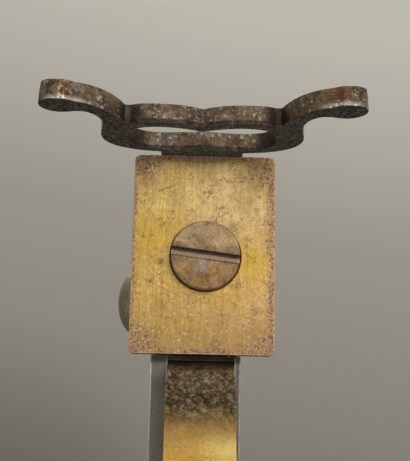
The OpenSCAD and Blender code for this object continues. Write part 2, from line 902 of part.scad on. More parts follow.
module lock_frame() {
    color("slategray")
        at_tank()
            difference() {
                union() {
                    slab(right, -inside)
                        lock_side2d();
                    slab(-inside - eps, -lip_in)
                        lip2d();
                    slab(-inside - eps, inside)
                        intersection() {
                            difference() {
                                lock_side2d();
                                translate([0, -strap_t])
                                    lock_side2d();
                            }
                            translate([lock_back, grip_z])
                                square([slot_back - lock_back, lock_top]);
                        }
                    slab(-inside - eps, inside)
                        translate([lock_back, lock_low])
                            square([block_l, wrist_top - lock_low - 0.5]);
                    slab(-inside - eps, inside)
                        translate([back - breech_l, lock_low])
                            square([breech_l - seat, breech_h]);
                    bar_y(post_c, 3.8, -inside - eps, inside);
                    slab(-tang_w / 2, tang_w / 2)
                        tang2d(0);
                    translate([lock_back - tenon_l, -tenon_w / 2, grip_z - tenon_h / 2])
                        cube([tenon_l + 1, tenon_w, tenon_h]);
                }
                pin_holes();
                guard_slot();
                bar_y(breech_c, small_d + 2 * fit, -far, far);
                for (c = cover_places)
                    bar_y(c, small_d + 2 * fit, left - cover_screw_l - air, far);
                tang_screw_line()
                    cylinder(d = long_d + 2 * fit, h = far, center = true);
                translate([spring_x, 0, spring_z])
                    rotate([0, -90, 0])
                        cylinder(d = small_d + 2 * fit, h = spring_screw_l);
            }
}

module lock_cover() {
    color("lightslategray")
        at_tank()
            difference() {
                union() {
                    slab(inside, left)
                        lock_side2d();
                    slab(lip_in, inside + eps)
                        lip2d();
                }
                pin_holes();
                bar_y(breech_c, small_d + 2 * fit, 0, far);
                for (c = cover_places)
                    bar_y(c, small_d + 2 * fit, 0, far);
            }
}

module cover_screws() {
    color("gray")
        at_tank()
            for (c = cover_places)
                translate([c[0], left, c[1]])
                    rotate([-90, 0, 0])
                        rotate(c[0] * 17)
                            small_screw(cover_screw_l);
}

// Screws from the tank's sides into the front of the lock, flush with the tank
module breech_screws() {
    color("gray")
        at_tank()
            for (m = [0, 1])
                mirror([0, m, 0])
                    difference() {
                        bar_y(breech_c, small_d, inside + seat, side);
                        translate([breech_c[0] - small_d, side - 0.4, breech_c[1] - 0.2])
                            cube([2 * small_d, 0.8, 0.4]);
                    }
}

// Cock, which carries the snuffer

cock_hub_r = 5.6;
jaw_back = jaw_screw_x - 7.5;
nose = [jaw_screw_x + 4.6, jaw_z - 1.9];
nose_r = 1.9;
jaw_root = [jaw_back, jaw_z];
spur = jaw_root + [-3.9, 8.6];
spur_r = 1.4;
neck_front = [cock_c + [4.4, 3.0], cock_c + [4.6, 7.6], cock_c + [3.9, 11.8], cock_c + [4.9, 15.4],
    jaw_root + [0.4, -6.6], jaw_root + [4.4, -4.9], nose + [-1.5, -nose_r], nose + [0, -nose_r]];
spur_front = [jaw_root + [1.2, 1.6], jaw_root + [0.7, 5.0], jaw_root + [-1.2, 8.0], spur + [0.9, 1.1]];
neck_back = [spur + [-0.9, -1.1], jaw_root + [-2.0, 5.2], jaw_root + [-1.9, 1.8], jaw_root + [-4.6, -3.0],
    cock_c + [-3.6, 15.0], cock_c + [-4.7, 10.8], cock_c + [-4.6, 6.8], cock_c + [-4.9, 2.2]];

// Side view of the cock: hub, curved neck, lower jaw and spur
module cock2d() {
    circle_at(cock_c, cock_hub_r);
    polygon(concat(
        smooth(neck_front, 4),
        [for (k = [1 : 7]) let (a = 180 * k / 7 - 90) nose + nose_r * [cos(a), sin(a)]],
        [jaw_root + [1.2, 0]],
        smooth(spur_front, 4),
        [for (k = [1 : 8]) let (a = 50 + 180 * k / 9) spur + spur_r * [cos(a), sin(a)]],
        smooth(neck_back, 4),
        [cock_c]));
}

module circle_at(c, r) {
    translate(c)
        circle(r);
}

module cock() {
    color("slategray")
        at_tank()
            difference() {
                union() {
                    slab(-mid, mid)
                        difference() {
                            cock2d();
                            translate([jaw_back + 1.2, jaw_z])
                                square([40, stem_t]);
                        }
                    bar_y(cock_c, cock_pin_d + 3.4, -gear_out, gear_out);
                    slab(-gear_out, -gear_in)
                        translate(cock_c)
                            intersection() {
                                gear2d(sector_n, train_a);
                                wedge2d(far, train_a - 3.5 * 360 / sector_n,
                                    train_a + 1.5 * 360 / sector_n);
                            }
                    slab(-gear_out, -mid + eps)
                        circle_at(cock_c, sector_r - dedendum - 0.6);
                    slab(mid - eps, gear_out)
                        translate(cock_c)
                            gear2d(cock_n, 180 + trigger_dir);
                    slab(-mid, mid)
                        polygon(strip([cock_c + [-3, 1.2], cock_c + [-6, 1.4], cock_c + [-8.2, 1.2]],
                            [2.4, 1.6, 1]));
                }
                bar_y(cock_c, cock_pin_d + 2 * run, -far, far);
                translate([jaw_screw_x, 0, jaw_z - 8])
                    cylinder(d = long_d + 2 * fit, h = 10);
            }
}

module cock_pin() {
    color("silver")
        at_tank()
            difference() {
                bar_y(cock_c, cock_pin_d, right - 0.5, left + 0.5);
                translate([cock_c[0] - 4, right - 1.2, cock_c[1] - small_slot / 2])
                    cube([8, 1.1, small_slot]);
            }
}

module top_jaw() {
    z0 = jaw_z + stem_t + fit;
    color("slategray")
        at_tank()
            difference() {
                slab(-mid - 0.2, mid + 0.2)
                    polygon(concat([[jaw_back + 1.7, z0], [jaw_back + 1.7, z0 + jaw_t]],
                        [for (k = [0 : 8]) let (a = 90 - 90 * k / 8)
                            [jaw_screw_x + 2.4 + 3.8 * cos(a), z0 + jaw_t * sin(a)]]));
                translate([jaw_screw_x, 0, z0 - 1])
                    cylinder(d = long_d + 2 * fit, h = jaw_t + 2);
            }
}

module jaw_screw() {
    z0 = jaw_z + stem_t + jaw_t + 2 * fit;
    color("gray")
        at_tank()
            difference() {
                union() {
                    translate([jaw_screw_x, 0, jaw_z - 3.2])
                        cylinder(d = long_d, h = z0 - jaw_z + 3.3);
                    translate([jaw_screw_x, 0, z0])
                        rotate_extrude()
                            polygon([[0, 0], [2.4, 0], [2.4, 0.8], [1.5, 1.5], [1.5, 3.6], [1.1, 4.2],
                                [0, 4.2]]);
                }
                translate([jaw_screw_x, 0, z0 + 2.6])
                    rotate([90, 0, 30])
                        cylinder(d = 1.2, h = 10, center = true);
            }
}

// Flat steel strip held in the jaws; its forked end carries the cap
module snuffer_stem() {
    top = jaw_z + stem_t;
    ear_r = 1.7;
    color("silver")
        at_tank()
            difference() {
                union() {
                    slab(-stem_w / 2, stem_w / 2)
                        translate([jaw_back + 1.4, jaw_z + fit])
                            square([wick_x - jaw_back - 1.4, stem_t - fit]);
                    slab(-fork_w / 2, fork_w / 2) {
                        polygon(concat(
                            [[wick_x - 3.4, jaw_z + fit], [wick_x - 3.4, top]],
                            [for (k = [0 : 6]) let (a = 90 - 15 * k)
                                [wick_x - 1.2 + 3 * cos(a), top - 3 + 3 * sin(a)]],
                            [[wick_x + ear_r, cap_pin_z], [wick_x - ear_r, cap_pin_z],
                                [wick_x - ear_r, jaw_z + fit]]));
                        circle_at([wick_x, cap_pin_z], ear_r);
                    }
                }
                translate([wick_x - 8, -lug_w / 2 - 0.15, 0])
                    cube([16, lug_w + 0.3, cap_pin_z + 2.4]);
                bar_y([wick_x, cap_pin_z], snuffer_pin_d + 2 * fit, -far, far);
                translate([jaw_screw_x, 0, jaw_z - 1])
                    cylinder(d = long_d + 2 * fit, h = stem_t + 2);
            }
}

module snuffer_pin() {
    color("silver")
        at_tank()
            bar_y([wick_x, cap_pin_z], snuffer_pin_d, -fork_w / 2 - 0.3, fork_w / 2 + 0.3);
}

module snuffer_cap() {
    color("goldenrod")
        at_tank()
            difference() {
                union() {
                    translate([wick_x, 0, cap_low])
                        difference() {
                            rotate_extrude()
                                polygon(concat(
                                    [[0, 0], [cap_r, 0], [cap_r, 0.9], [cap_r - 0.35, 1.2]],
                                    [for (k = [0 : 8]) let (a = 90 * k / 8)
                                        [1.6 + (cap_r - 1.95) * cos(a), cap_h - 2.2 + 2.2 * sin(a)]],
                                    [[0, cap_h]]));
                            translate([0, 0, -1])
                                cylinder(r = cap_r - cap_wall, h = cap_h - 1.2 - cap_wall + 1);
                        }
                    slab(-lug_w / 2, lug_w / 2) {
                        translate([wick_x - lug_r, cap_low + cap_h - 0.6])
                            square([2 * lug_r, cap_pin_z - cap_low - cap_h + 0.6]);
                        circle_at([wick_x, cap_pin_z], lug_r);
                    }
                }
                bar_y([wick_x, cap_pin_z], snuffer_pin_d + 2 * run, -far, far);
            }
}

// Trigger and spring

blade_line = [trigger_c, trigger_c + [-0.4, -4.2], trigger_c + [-0.5, -7.6], trigger_c + [0.4, -10.2],
    trigger_c + [2.0, -11.8]];

trigger_hub_r = 3.0;
plate_t = 1.1;

module trigger() {
    color("silver")
        at_tank()
            difference() {
                union() {
                    slab(-mid + 0.5, mid - 0.5) {
                        circle_at(trigger_c, trigger_hub_r);
                        polygon(strip(smooth(blade_line, 5), [2.0, 1.7, 1.5, 1.25, 1.0]));
                        circle_at(trigger_c + [2.0, -11.8], 1.0);
                    }
                    bar_y(trigger_c, pin_d + 3, -gear_out, gear_out);
                    slab(mid - 0.5 - eps, gear_out)
                        circle_at(trigger_c, trigger_hub_r);
                    slab(gear_in, gear_out)
                        translate(trigger_c)
                            intersection() {
                                gear2d(trigger_n, trigger_dir + 180 / trigger_n);
                                wedge2d(far, trigger_dir - 360 / trigger_n,
                                    trigger_dir + 2 * 360 / trigger_n);
                            }
                }
                bar_y(trigger_c, pin_d + 2 * run, -far, far);
            }
}

module trigger_pin() {
    color("silver")
        at_tank()
            bar_y(trigger_c, pin_d, right, left);
}

module trigger_plate() {
    x0 = lock_back + block_l + 0.2;
    x1 = back - breech_l - seat;
    color("slategray")
        at_tank()
            difference() {
                translate([x0, -inside + fit, lock_low])
                    cube([x1 - x0, lock_gap - 2 * fit, plate_t]);
                translate([trigger_c[0] - 5, -mid + 0.2, 0])
                    cube([8, 2 * mid - 0.4, 5]);
            }
}

spring_t = 0.7;
spring_screw_l = 4;
spring_down = 4.35;
spring_end = cock_c + [-8.0, -0.9];
spring_x = lock_back + block_l + run + spring_t / 2;
spring_z = (lock_top + wrist_top) / 2 - spring_down;
spring_bend = [spring_x + 1.6, spring_z - 3.2];

module main_spring() {
    color("steelblue")
        at_tank()
            difference() {
                slab(-1.8, 1.8)
                    polygon(strip(smooth([[spring_x, spring_z + 1.4], [spring_x, spring_z],
                        [spring_x, spring_z - 2.0], [spring_x + 0.3, spring_z - 2.7], spring_bend,
                        mix(spring_bend, spring_end, 0.5) + [0, -0.4], spring_end], 4),
                        [spring_t / 2, spring_t / 2, spring_t / 2, 0.3, 0.25]));
                spring_screw_line()
                    cylinder(d = long_d, h = 4, center = true);
            }
}

module spring_screw_line() {
    translate([spring_x + spring_t / 2 + fit, 0, spring_z])
        rotate([0, 90, 0])
            children();
}

module spring_screw() {
    color("gray")
        at_tank()
            spring_screw_line()
                small_screw(spring_screw_l);
}

// Trigger guard

guard_x = back - 2.2;
guard_lug = 2.8;
guard_end_r = 2.7;
guard_pin_d = 1.4;
guard_pin_c = [guard_x, lock_low + 1.8];
breech_l = 5.6;
breech_h = 3.7;
guard_under = -guard_drop + guard_t / 2;
guard_line = concat(
    [[guard_x, lock_low + breech_h - 0.2], [guard_x, lock_low + 1.4], [guard_x + 0.1, -0.2],
    [guard_x - 0.9, -1.1], [guard_x - 3.4, -2.5], [guard_x - 7.5, -5.9], [guard_x - 12.5, -9.4],
    [guard_x - 18.5, guard_under], [guard_x - 25, guard_under + 0.3], [guard_x - 31, -8.6],
    [guard_x - 35, -4.2],
    [lock_back + 6.2, lock_low - guard_t / 2 - 0.9], [lock_back + 3, lock_low - guard_t / 2 - 0.02]],
    [for (k = [0 : 6]) let (t = guard_end * k / 6)
        grip_at(t) - grip_up(t) * (grip_half_h(t) + mix(guard_t / 2, 0.4 - guard_t / 2, min(1, k / 4)))]);

module guard2d(extra) {
    n = len(guard_line);
    polygon(strip(smooth(guard_line, 3),
        [for (i = [0 : n - 1]) (i < 2 ? guard_lug : guard_t) / 2 + extra]));
}

// Plan of the strap, wider under the trigger, with a rounded end on the grip
module guard_plan2d(extra) {
    x_end = grip_at(guard_end)[0];
    xs = [0, -3, -9, -16, -24, -31, -36, -42, -50];
    ws = [guard_w, guard_w + 0.5, guard_bow_w, guard_bow_w, guard_bow_w, mix(guard_bow_w, 6, 0.4),
        6.6, 5.6, 2 * guard_end_r];
    edge = smooth([for (i = [0 : len(xs) - 1]) [guard_x + xs[i], ws[i] / 2 + extra]], 4);
    polygon(concat([[guard_x + 3, guard_w / 2 + extra]],
        edge,
        [for (m = [1, -1]) [x_end + guard_end_r, m * (guard_end_r + extra)]],
        [for (i = [len(edge) - 1 : -1 : 0]) [edge[i][0], -edge[i][1]]],
        [[guard_x + 3, -guard_w / 2 - extra]]));
    translate([x_end + guard_end_r, 0])
        circle(guard_end_r + extra);
}

module guard_slot() {
    translate([guard_x - guard_lug / 2 - seat, -inside - eps, 0])
        cube([guard_lug + 2 * seat, lock_gap + 2 * eps, lock_low + breech_h + 1]);
    translate([guard_x, -guard_w / 2 - seat, 0])
        cube([back - guard_x, guard_w + 2 * seat, lock_low + 1.6]);
}

module trigger_guard() {
    color("gold")
        at_tank()
            difference() {
                intersection() {
                    slab(-side, side)
                        guard2d(0);
                    translate([0, 0, -stand_h])
                        linear_extrude(far)
                            guard_plan2d(0);
                }
                bar_y(guard_pin_c, guard_pin_d + 2 * fit, -far, far);
                tang_screw_line()
                    cylinder(d = long_d + 2 * fit, h = far, center = true);
            }
}

module guard_pin() {
    color("silver")
        at_tank()
            bar_y(guard_pin_c, guard_pin_d, right, left);
}

// Grip

tenon_l = 15;
tenon_w = 5.6;
tenon_h = 6.4;
tang_proud = 0.1;

module tang2d(extra) {
    polygon(concat(
        [for (k = [0 : 10]) let (t = tang_end * k / 10)
            grip_at(t) + grip_up(t) * (grip_half_h(t) + tang_proud + extra)],
        [for (k = [10 : -1 : 0]) let (t = tang_end * k / 10)
            grip_at(t) + grip_up(t) * (grip_half_h(t) + tang_proud - (k == 10 ? 0.6 : tang_t + extra))]));
    if (extra == 0)
        translate([lock_back - eps, wrist_top - tang_t + tang_proud])
            square([1, tang_t - tang_proud]);
}

module tang_screw_line() {
    c = grip_at(tang_screw_t);
    u = grip_up(tang_screw_t);
    translate([c[0], 0, c[1]])
        rotate([0, atan2(u[0], u[1]), 0])
            children();
}

module butt_line(s) {
    translate([grip_3[0], 0, grip_3[1]])
        rotate([0, -90 - butt_a, 0])
            translate([0, 0, s])
                children();
}

// The grip as rings along its middle line, ending in a round plug for the butt cap
module grip_body() {
    rings = 30;
    sides = 32;
    up = grip_up(1);
    plug = [for (s = [0, plug_l]) for (k = [0 : sides - 1])
        let (a = 360 * k / sides, c = grip_3 + s * grip_dir(1) + plug_r * sin(a) * up)
        [c[0], plug_r * cos(a), c[1]]];
    points = concat(
        [for (i = [0 : rings]) for (k = [0 : sides - 1]) grip_point(i / rings, 360 * k / sides)],
        plug);
    walls = [for (i = [0 : rings + 1]) for (k = [0 : sides - 1])
        let (m = (k + 1) % sides, p = i * sides)
        each [[p + k, p + sides + k, p + m], [p + m, p + sides + k, p + sides + m]]];
    first = [for (k = [0 : sides - 1]) k];
    last = [for (k = [sides - 1 : -1 : 0]) (rings + 2) * sides + k];
    polyhedron(points, concat(walls, [first, last]));
}

module grip() {
    color("saddlebrown")
        at_tank()
            difference() {
                grip_body();
                slab(-tang_w / 2 - inlet, tang_w / 2 + inlet)
                    tang2d(inlet);
                translate([lock_back - tenon_l - seat, -tenon_w / 2 - seat, grip_z - tenon_h / 2 - seat])
                    cube([tenon_l + 2 * seat, tenon_w + 2 * seat, tenon_h + 2 * seat]);
                intersection() {
                    slab(-side, side)
                        guard2d(inlet);
                    translate([0, 0, -stand_h])
                        linear_extrude(far)
                            guard_plan2d(inlet);
                }
                tang_screw_line()
                    cylinder(d = long_d + 2 * fit, h = far, center = true);
                butt_line(-8)
                    cylinder(d = long_d + 2 * fit, h = 20);
            }
}

module tang_screw() {
    top = grip_half_h(tang_screw_t) + tang_proud;
    bottom = grip_half_h(tang_screw_t) + 0.2;
    color("gray")
        at_tank()
            tang_screw_line()
                difference() {
                    union() {
                        translate([0, 0, -bottom])
                            cylinder(d = long_d, h = top + bottom + eps);
                        translate([0, 0, top])
                            cylinder(d1 = 3.8, d2 = 3.0, h = 0.8);
                    }
                    rotate(65)
                        translate([-3, -small_slot / 2, top + 0.35])
                            cube([6, small_slot, 1]);
                }
}

module butt_cap() {
    color("goldenrod")
        at_tank()
            intersection() {
                butt_line(0)
                    difference() {
                        rotate_extrude($fn = 72)
                            polygon(concat(
                                [[0, 0], [cap_band_r - 0.3, 0], [cap_band_r, 0.3], [cap_band_r, cap_band_l]],
                                [for (k = [1 : 15]) let (a = 90 * k / 16)
                                    [cap_band_r * cos(a), cap_band_l + butt_dome * sin(a)]],
                                [[0, cap_band_l + butt_dome]]));
                        translate([0, 0, -eps])
                            cylinder(r = cap_band_r - butt_wall, h = plug_l + 0.1);
                        translate([0, 0, -eps])
                            cylinder(r = cap_band_r - 4, h = cap_band_l + butt_dome - 3);
                        cylinder(d = long_d + 2 * fit, h = far);
                        translate([0, 0, cap_band_l + butt_dome - seat - fit])
                            cylinder(d = butt_head_d + 2 * fit, h = far);
                    }
                translate([-far, -far, -stand_h])
                    cube(2 * far);
            }
}

module butt_screw() {
    z0 = cap_band_l + butt_dome;
    color("gray")
        at_tank()
            butt_line(0)
                difference() {
                    union() {
                        translate([0, 0, -6])
                            cylinder(d = long_d, h = z0 + 6 + eps);
                        translate([0, 0, z0 - seat])
                            cylinder(d1 = butt_head_d, d2 = butt_head_d - 1, h = small_head_h);
                    }
                    translate([-3, -small_slot / 2, z0 + 0.3])
                        cube([6, small_slot, 2]);
                }
}

base_plate();
filler_washer();
filler_screw();
tank_box();
wadding();
wick();
wick_tube();
flint_tube();
flint();
flint_spring();
flint_screw();
axle_screw();
spark_wheel();
wheel_pinion();
wheel_bush();
idler_gear();
idler_pin();
front_foot();
foot_screws();
lock_frame();
lock_cover();
cover_screws();
breech_screws();
cock();
cock_pin();
top_jaw();
jaw_screw();
snuffer_stem();
snuffer_pin();
snuffer_cap();
trigger();
trigger_pin();
trigger_plate();
main_spring();
spring_screw();
trigger_guard();
guard_pin();
grip();
tang_screw();
butt_cap();
butt_screw();
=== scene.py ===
"""Looks of a pistol-shaped petrol table lighter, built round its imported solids."""

import json
import math
import random

import bmesh
import bpy
from bpy.props import FloatProperty, FloatVectorProperty, IntProperty, PointerProperty
from mathutils import Matrix, Vector, noise

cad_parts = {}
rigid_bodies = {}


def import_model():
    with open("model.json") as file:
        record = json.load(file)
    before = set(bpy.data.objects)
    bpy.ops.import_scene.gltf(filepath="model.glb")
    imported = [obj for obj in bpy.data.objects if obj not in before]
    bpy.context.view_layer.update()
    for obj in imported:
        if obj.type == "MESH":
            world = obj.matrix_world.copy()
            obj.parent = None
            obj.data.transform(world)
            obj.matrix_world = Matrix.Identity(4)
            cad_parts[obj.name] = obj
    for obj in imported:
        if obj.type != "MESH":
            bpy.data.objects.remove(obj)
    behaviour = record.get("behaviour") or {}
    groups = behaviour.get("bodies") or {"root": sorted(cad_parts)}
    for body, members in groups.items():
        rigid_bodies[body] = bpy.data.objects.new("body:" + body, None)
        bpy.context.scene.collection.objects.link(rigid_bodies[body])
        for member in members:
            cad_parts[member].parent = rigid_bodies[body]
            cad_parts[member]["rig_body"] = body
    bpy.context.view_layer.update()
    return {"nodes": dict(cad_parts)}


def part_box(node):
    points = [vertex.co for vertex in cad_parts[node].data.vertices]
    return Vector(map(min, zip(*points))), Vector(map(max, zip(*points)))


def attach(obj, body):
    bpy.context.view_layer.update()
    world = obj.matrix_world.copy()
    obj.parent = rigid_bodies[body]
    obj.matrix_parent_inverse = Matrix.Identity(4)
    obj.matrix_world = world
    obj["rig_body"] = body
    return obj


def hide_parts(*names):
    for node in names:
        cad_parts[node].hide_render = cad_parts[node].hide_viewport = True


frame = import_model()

bl_info = {
    "name": "Pistol Table Lighter",
    "version": (1, 0, 0),
    "blender": (4, 5, 0),
    "location": "3D Viewport > Sidebar > Lighter",
    "description": "Dresses the solids of a petrol table lighter and sets its studio",
    "category": "Object",
}

MM = 0.001


def box_mm(node):
    """The lowest and the highest x, y and z of a node, in millimetres."""
    return [[value / MM for value in corner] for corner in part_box(node)]


# Places on the solids, in millimetres, that the finishes are laid out from
(PLATE_X0, PLATE_Y0, _), (PLATE_X1, PLATE_Y1, _) = box_mm("base_plate")
(FILLER_X0, FILLER_Y0, FILLER_Z0), (FILLER_X1, FILLER_Y1, _) = box_mm("filler_screw")
FILLER_X, FILLER_Y = (FILLER_X0 + FILLER_X1) / 2, (FILLER_Y0 + FILLER_Y1) / 2
SLOT_ACROSS = (math.cos(math.radians(7)), math.sin(math.radians(7)))
SLOT_HALF = 0.6
FOOT_X0 = box_mm("front_foot")[0][0]
FOOT_Y = (PLATE_Y0 + PLATE_Y1) / 2 - 0.5
GUARD_X1 = box_mm("trigger_guard")[1][0]
WICK_Z1 = box_mm("wick")[1][2]
BUTT_SLOPE = math.radians(-16)

# Turns between two faces: joined as one below the first, rounded over above the second, and
# shaded as an edge above the third
JOINED_BELOW = math.radians(0.5)
ROUNDED_ABOVE = math.radians(30)
SHARP_ABOVE = math.radians(36)
SAME_POINT = 0.002 * MM

# Meshes


def bmesh_of(mesh):
    bm = bmesh.new()
    bm.from_mesh(mesh)
    return bm


def mesh_of(bm, name):
    mesh = bpy.data.meshes.new(name)
    bm.to_mesh(mesh)
    bm.free()
    return mesh


def linked(name, data):
    """A new object in the scene."""
    thing = bpy.data.objects.new(name, data)
    bpy.context.scene.collection.objects.link(thing)
    return thing


def placed(piece, node, finish):
    """Give a piece its finish, and let it ride and stand in a node's place."""
    piece.data.materials.append(finish_of(finish))
    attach(piece, frame["nodes"][node]["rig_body"])
    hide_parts(node)


def eased_mesh(node, name, width):
    """A copy of a node's mesh with coplanar faces joined and its sharp edges rounded over."""
    bm = bmesh_of(frame["nodes"][node].data)
    bmesh.ops.remove_doubles(bm, verts=bm.verts, dist=SAME_POINT)
    bmesh.ops.dissolve_limit(bm, angle_limit=JOINED_BELOW, verts=bm.verts, edges=bm.edges)
    bmesh.ops.dissolve_degenerate(bm, dist=SAME_POINT, edges=bm.edges)
    sharp = [e for e in bm.edges if e.is_manifold and e.calc_face_angle(0) > ROUNDED_ABOVE]
    bmesh.ops.bevel(
        bm, geom=sharp, offset=width * MM, segments=2, profile=0.5,
        affect="EDGES", clamp_overlap=True, miter_outer="ARC",
    )
    bmesh.ops.triangulate(bm, faces=[f for f in bm.faces if len(f.verts) > 4])
    return mesh_of(bm, name)


def dress(group):
    """The nodes of a group with softened edges and their finishes, in the nodes' places."""
    ease = bpy.context.scene.lighter_looks.ease
    for node, finish, width in group:
        name = node + "_worn"
        mesh = eased_mesh(node, name, width * ease)
        mesh.shade_smooth()
        mesh.set_sharp_from_angle(angle=SHARP_ABOVE)
        piece = linked(name, mesh)
        placed(piece, node, finish)
        piece.modifiers.new("flat faces", "WEIGHTED_NORMAL").keep_sharp = True


def heading(points, i):
    """The direction of a line of points at one of them."""
    return (points[min(i + 1, len(points) - 1)] - points[max(i - 1, 0)]).normalized()


def around(side, over, turn):
    """The direction at a turn from one direction towards another."""
    return side * math.cos(turn) + over * math.sin(turn)


def tube_mesh(name, points, radius, sides):
    """A round tube through points, closed at both ends; radius is one or a list for the points."""
    radii = radius if isinstance(radius, list) else [radius] * len(points)
    bm = bmesh.new()
    rings = []
    side = heading(points, 0).orthogonal().normalized()
    for i, point in enumerate(points):
        ahead = heading(points, i)
        side = (side - ahead * side.dot(ahead)).normalized()
        over = ahead.cross(side)
        turns = [2 * math.pi * k / sides for k in range(sides)]
        rings.append([bm.verts.new(point + radii[i] * around(side, over, a)) for a in turns])
    for a, b in zip(rings, rings[1:]):
        for k in range(sides):
            m = (k + 1) % sides
            bm.faces.new((a[k], a[m], b[m], b[k]))
    bm.faces.new(rings[0][::-1])
    bm.faces.new(rings[-1])
    mesh = mesh_of(bm, name)
    mesh.shade_smooth()
    return mesh


def joined(meshes, name):
    """One mesh of several."""
    bm = bmesh.new()
    for mesh in meshes:
        bm.from_mesh(mesh)
    return mesh_of(bm, name)


# Finishes


class Nodes:
    """The node tree of a world or a material, with short ways to add to it."""

    def __init__(self, owner):
        owner.use_nodes = True
        self.tree = owner.node_tree
        self.tree.nodes.clear()

    def add(self, kind, sockets=(), **settings):
        node = self.tree.nodes.new(kind)
        for key, value in settings.items():
            setattr(node, key, value)
        for key, value in dict(sockets).items():
            self.put(node.inputs[key], value)
        return node

    def put(self, socket, value):
        """Link a node's output to a socket, or set the socket's own value."""
        if isinstance(value, bpy.types.NodeSocket):
            self.tree.links.new(value, socket)
        elif isinstance(value, (tuple, list)) and socket.type == "RGBA":
            socket.default_value = (*value[:3], 1)
        else:
            socket.default_value = value

    def axes(self, vector):
        return self.add("ShaderNodeSeparateXYZ", {0: vector}).outputs

    def math(self, operation, *values):
        return self.add("ShaderNodeMath", dict(enumerate(values)), operation=operation).outputs[0]

    def folded(self, operation, first, *rest):
        for value in rest:
            first = self.math(operation, first, value)
        return first

    def most(self, *values):
        """The largest of several values."""
        return self.folded("MAXIMUM", *values)

    def times(self, *values):
        return self.folded("MULTIPLY", *values)

    def total(self, *values):
        return self.folded("ADD", *values)

    def minus(self, value, other):
        return self.math("SUBTRACT", value, other)

    def apart(self, value, other):
        """The difference between two values, never below zero."""
        return self.math("ABSOLUTE", self.minus(value, other))

    def centred(self, value):
        """A noise between 0 and 1 moved to lie about 0."""
        return self.minus(value, 0.5)

    def squared(self, at, place):
        """The square of the distance between two places."""
        return self.total(*(self.math("POWER", self.minus(a, b), 2.0) for a, b in zip(at, place)))

    def mixed(self, *parts):
        """The sum of several values, each times its share."""
        return self.total(*(self.times(*part) for part in parts))

    def varied(self, start, *parts):
        """A value changed by several others, each times its share, and kept between 0 and 1."""
        changed = self.total(start, *(self.times(*part) for part in parts))
        return self.add("ShaderNodeClamp", {0: changed}).outputs[0]

    def fade(self, value, low, high, to_low=0.0, to_high=1.0):
        """A value mapped smoothly from one range to another."""
        ranges = {0: value, 1: low, 2: high, 3: to_low, 4: to_high}
        return self.add("ShaderNodeMapRange", ranges, interpolation_type="SMOOTHSTEP").outputs[0]

    def ramp(self, value, *stops):
        node = self.add("ShaderNodeValToRGB", {0: value})
        ends = node.color_ramp.elements
        while len(ends) < len(stops):
            ends.new(0.5)
        for end, (at, colour) in zip(ends, stops):
            end.position = at
            end.color = (*colour, 1)
        return node.outputs[0]

    def seen(self):
        """1 on a ray from the camera or one that a surface mirrors or lets through, 0 on others."""
        path = self.add("ShaderNodeLightPath").outputs
        return self.most(path["Is Camera Ray"], path["Is Glossy Ray"], path["Is Transmission Ray"])

    def background(self, colour, strength=1.0):
        return self.add("ShaderNodeBackground", {0: colour, 1: strength}).outputs[0]

    def either(self, share, first, second):
        """The first shader where the share is 0, and the second where it is 1."""
        return self.add("ShaderNodeMixShader", {0: share, 1: first, 2: second}).outputs[0]


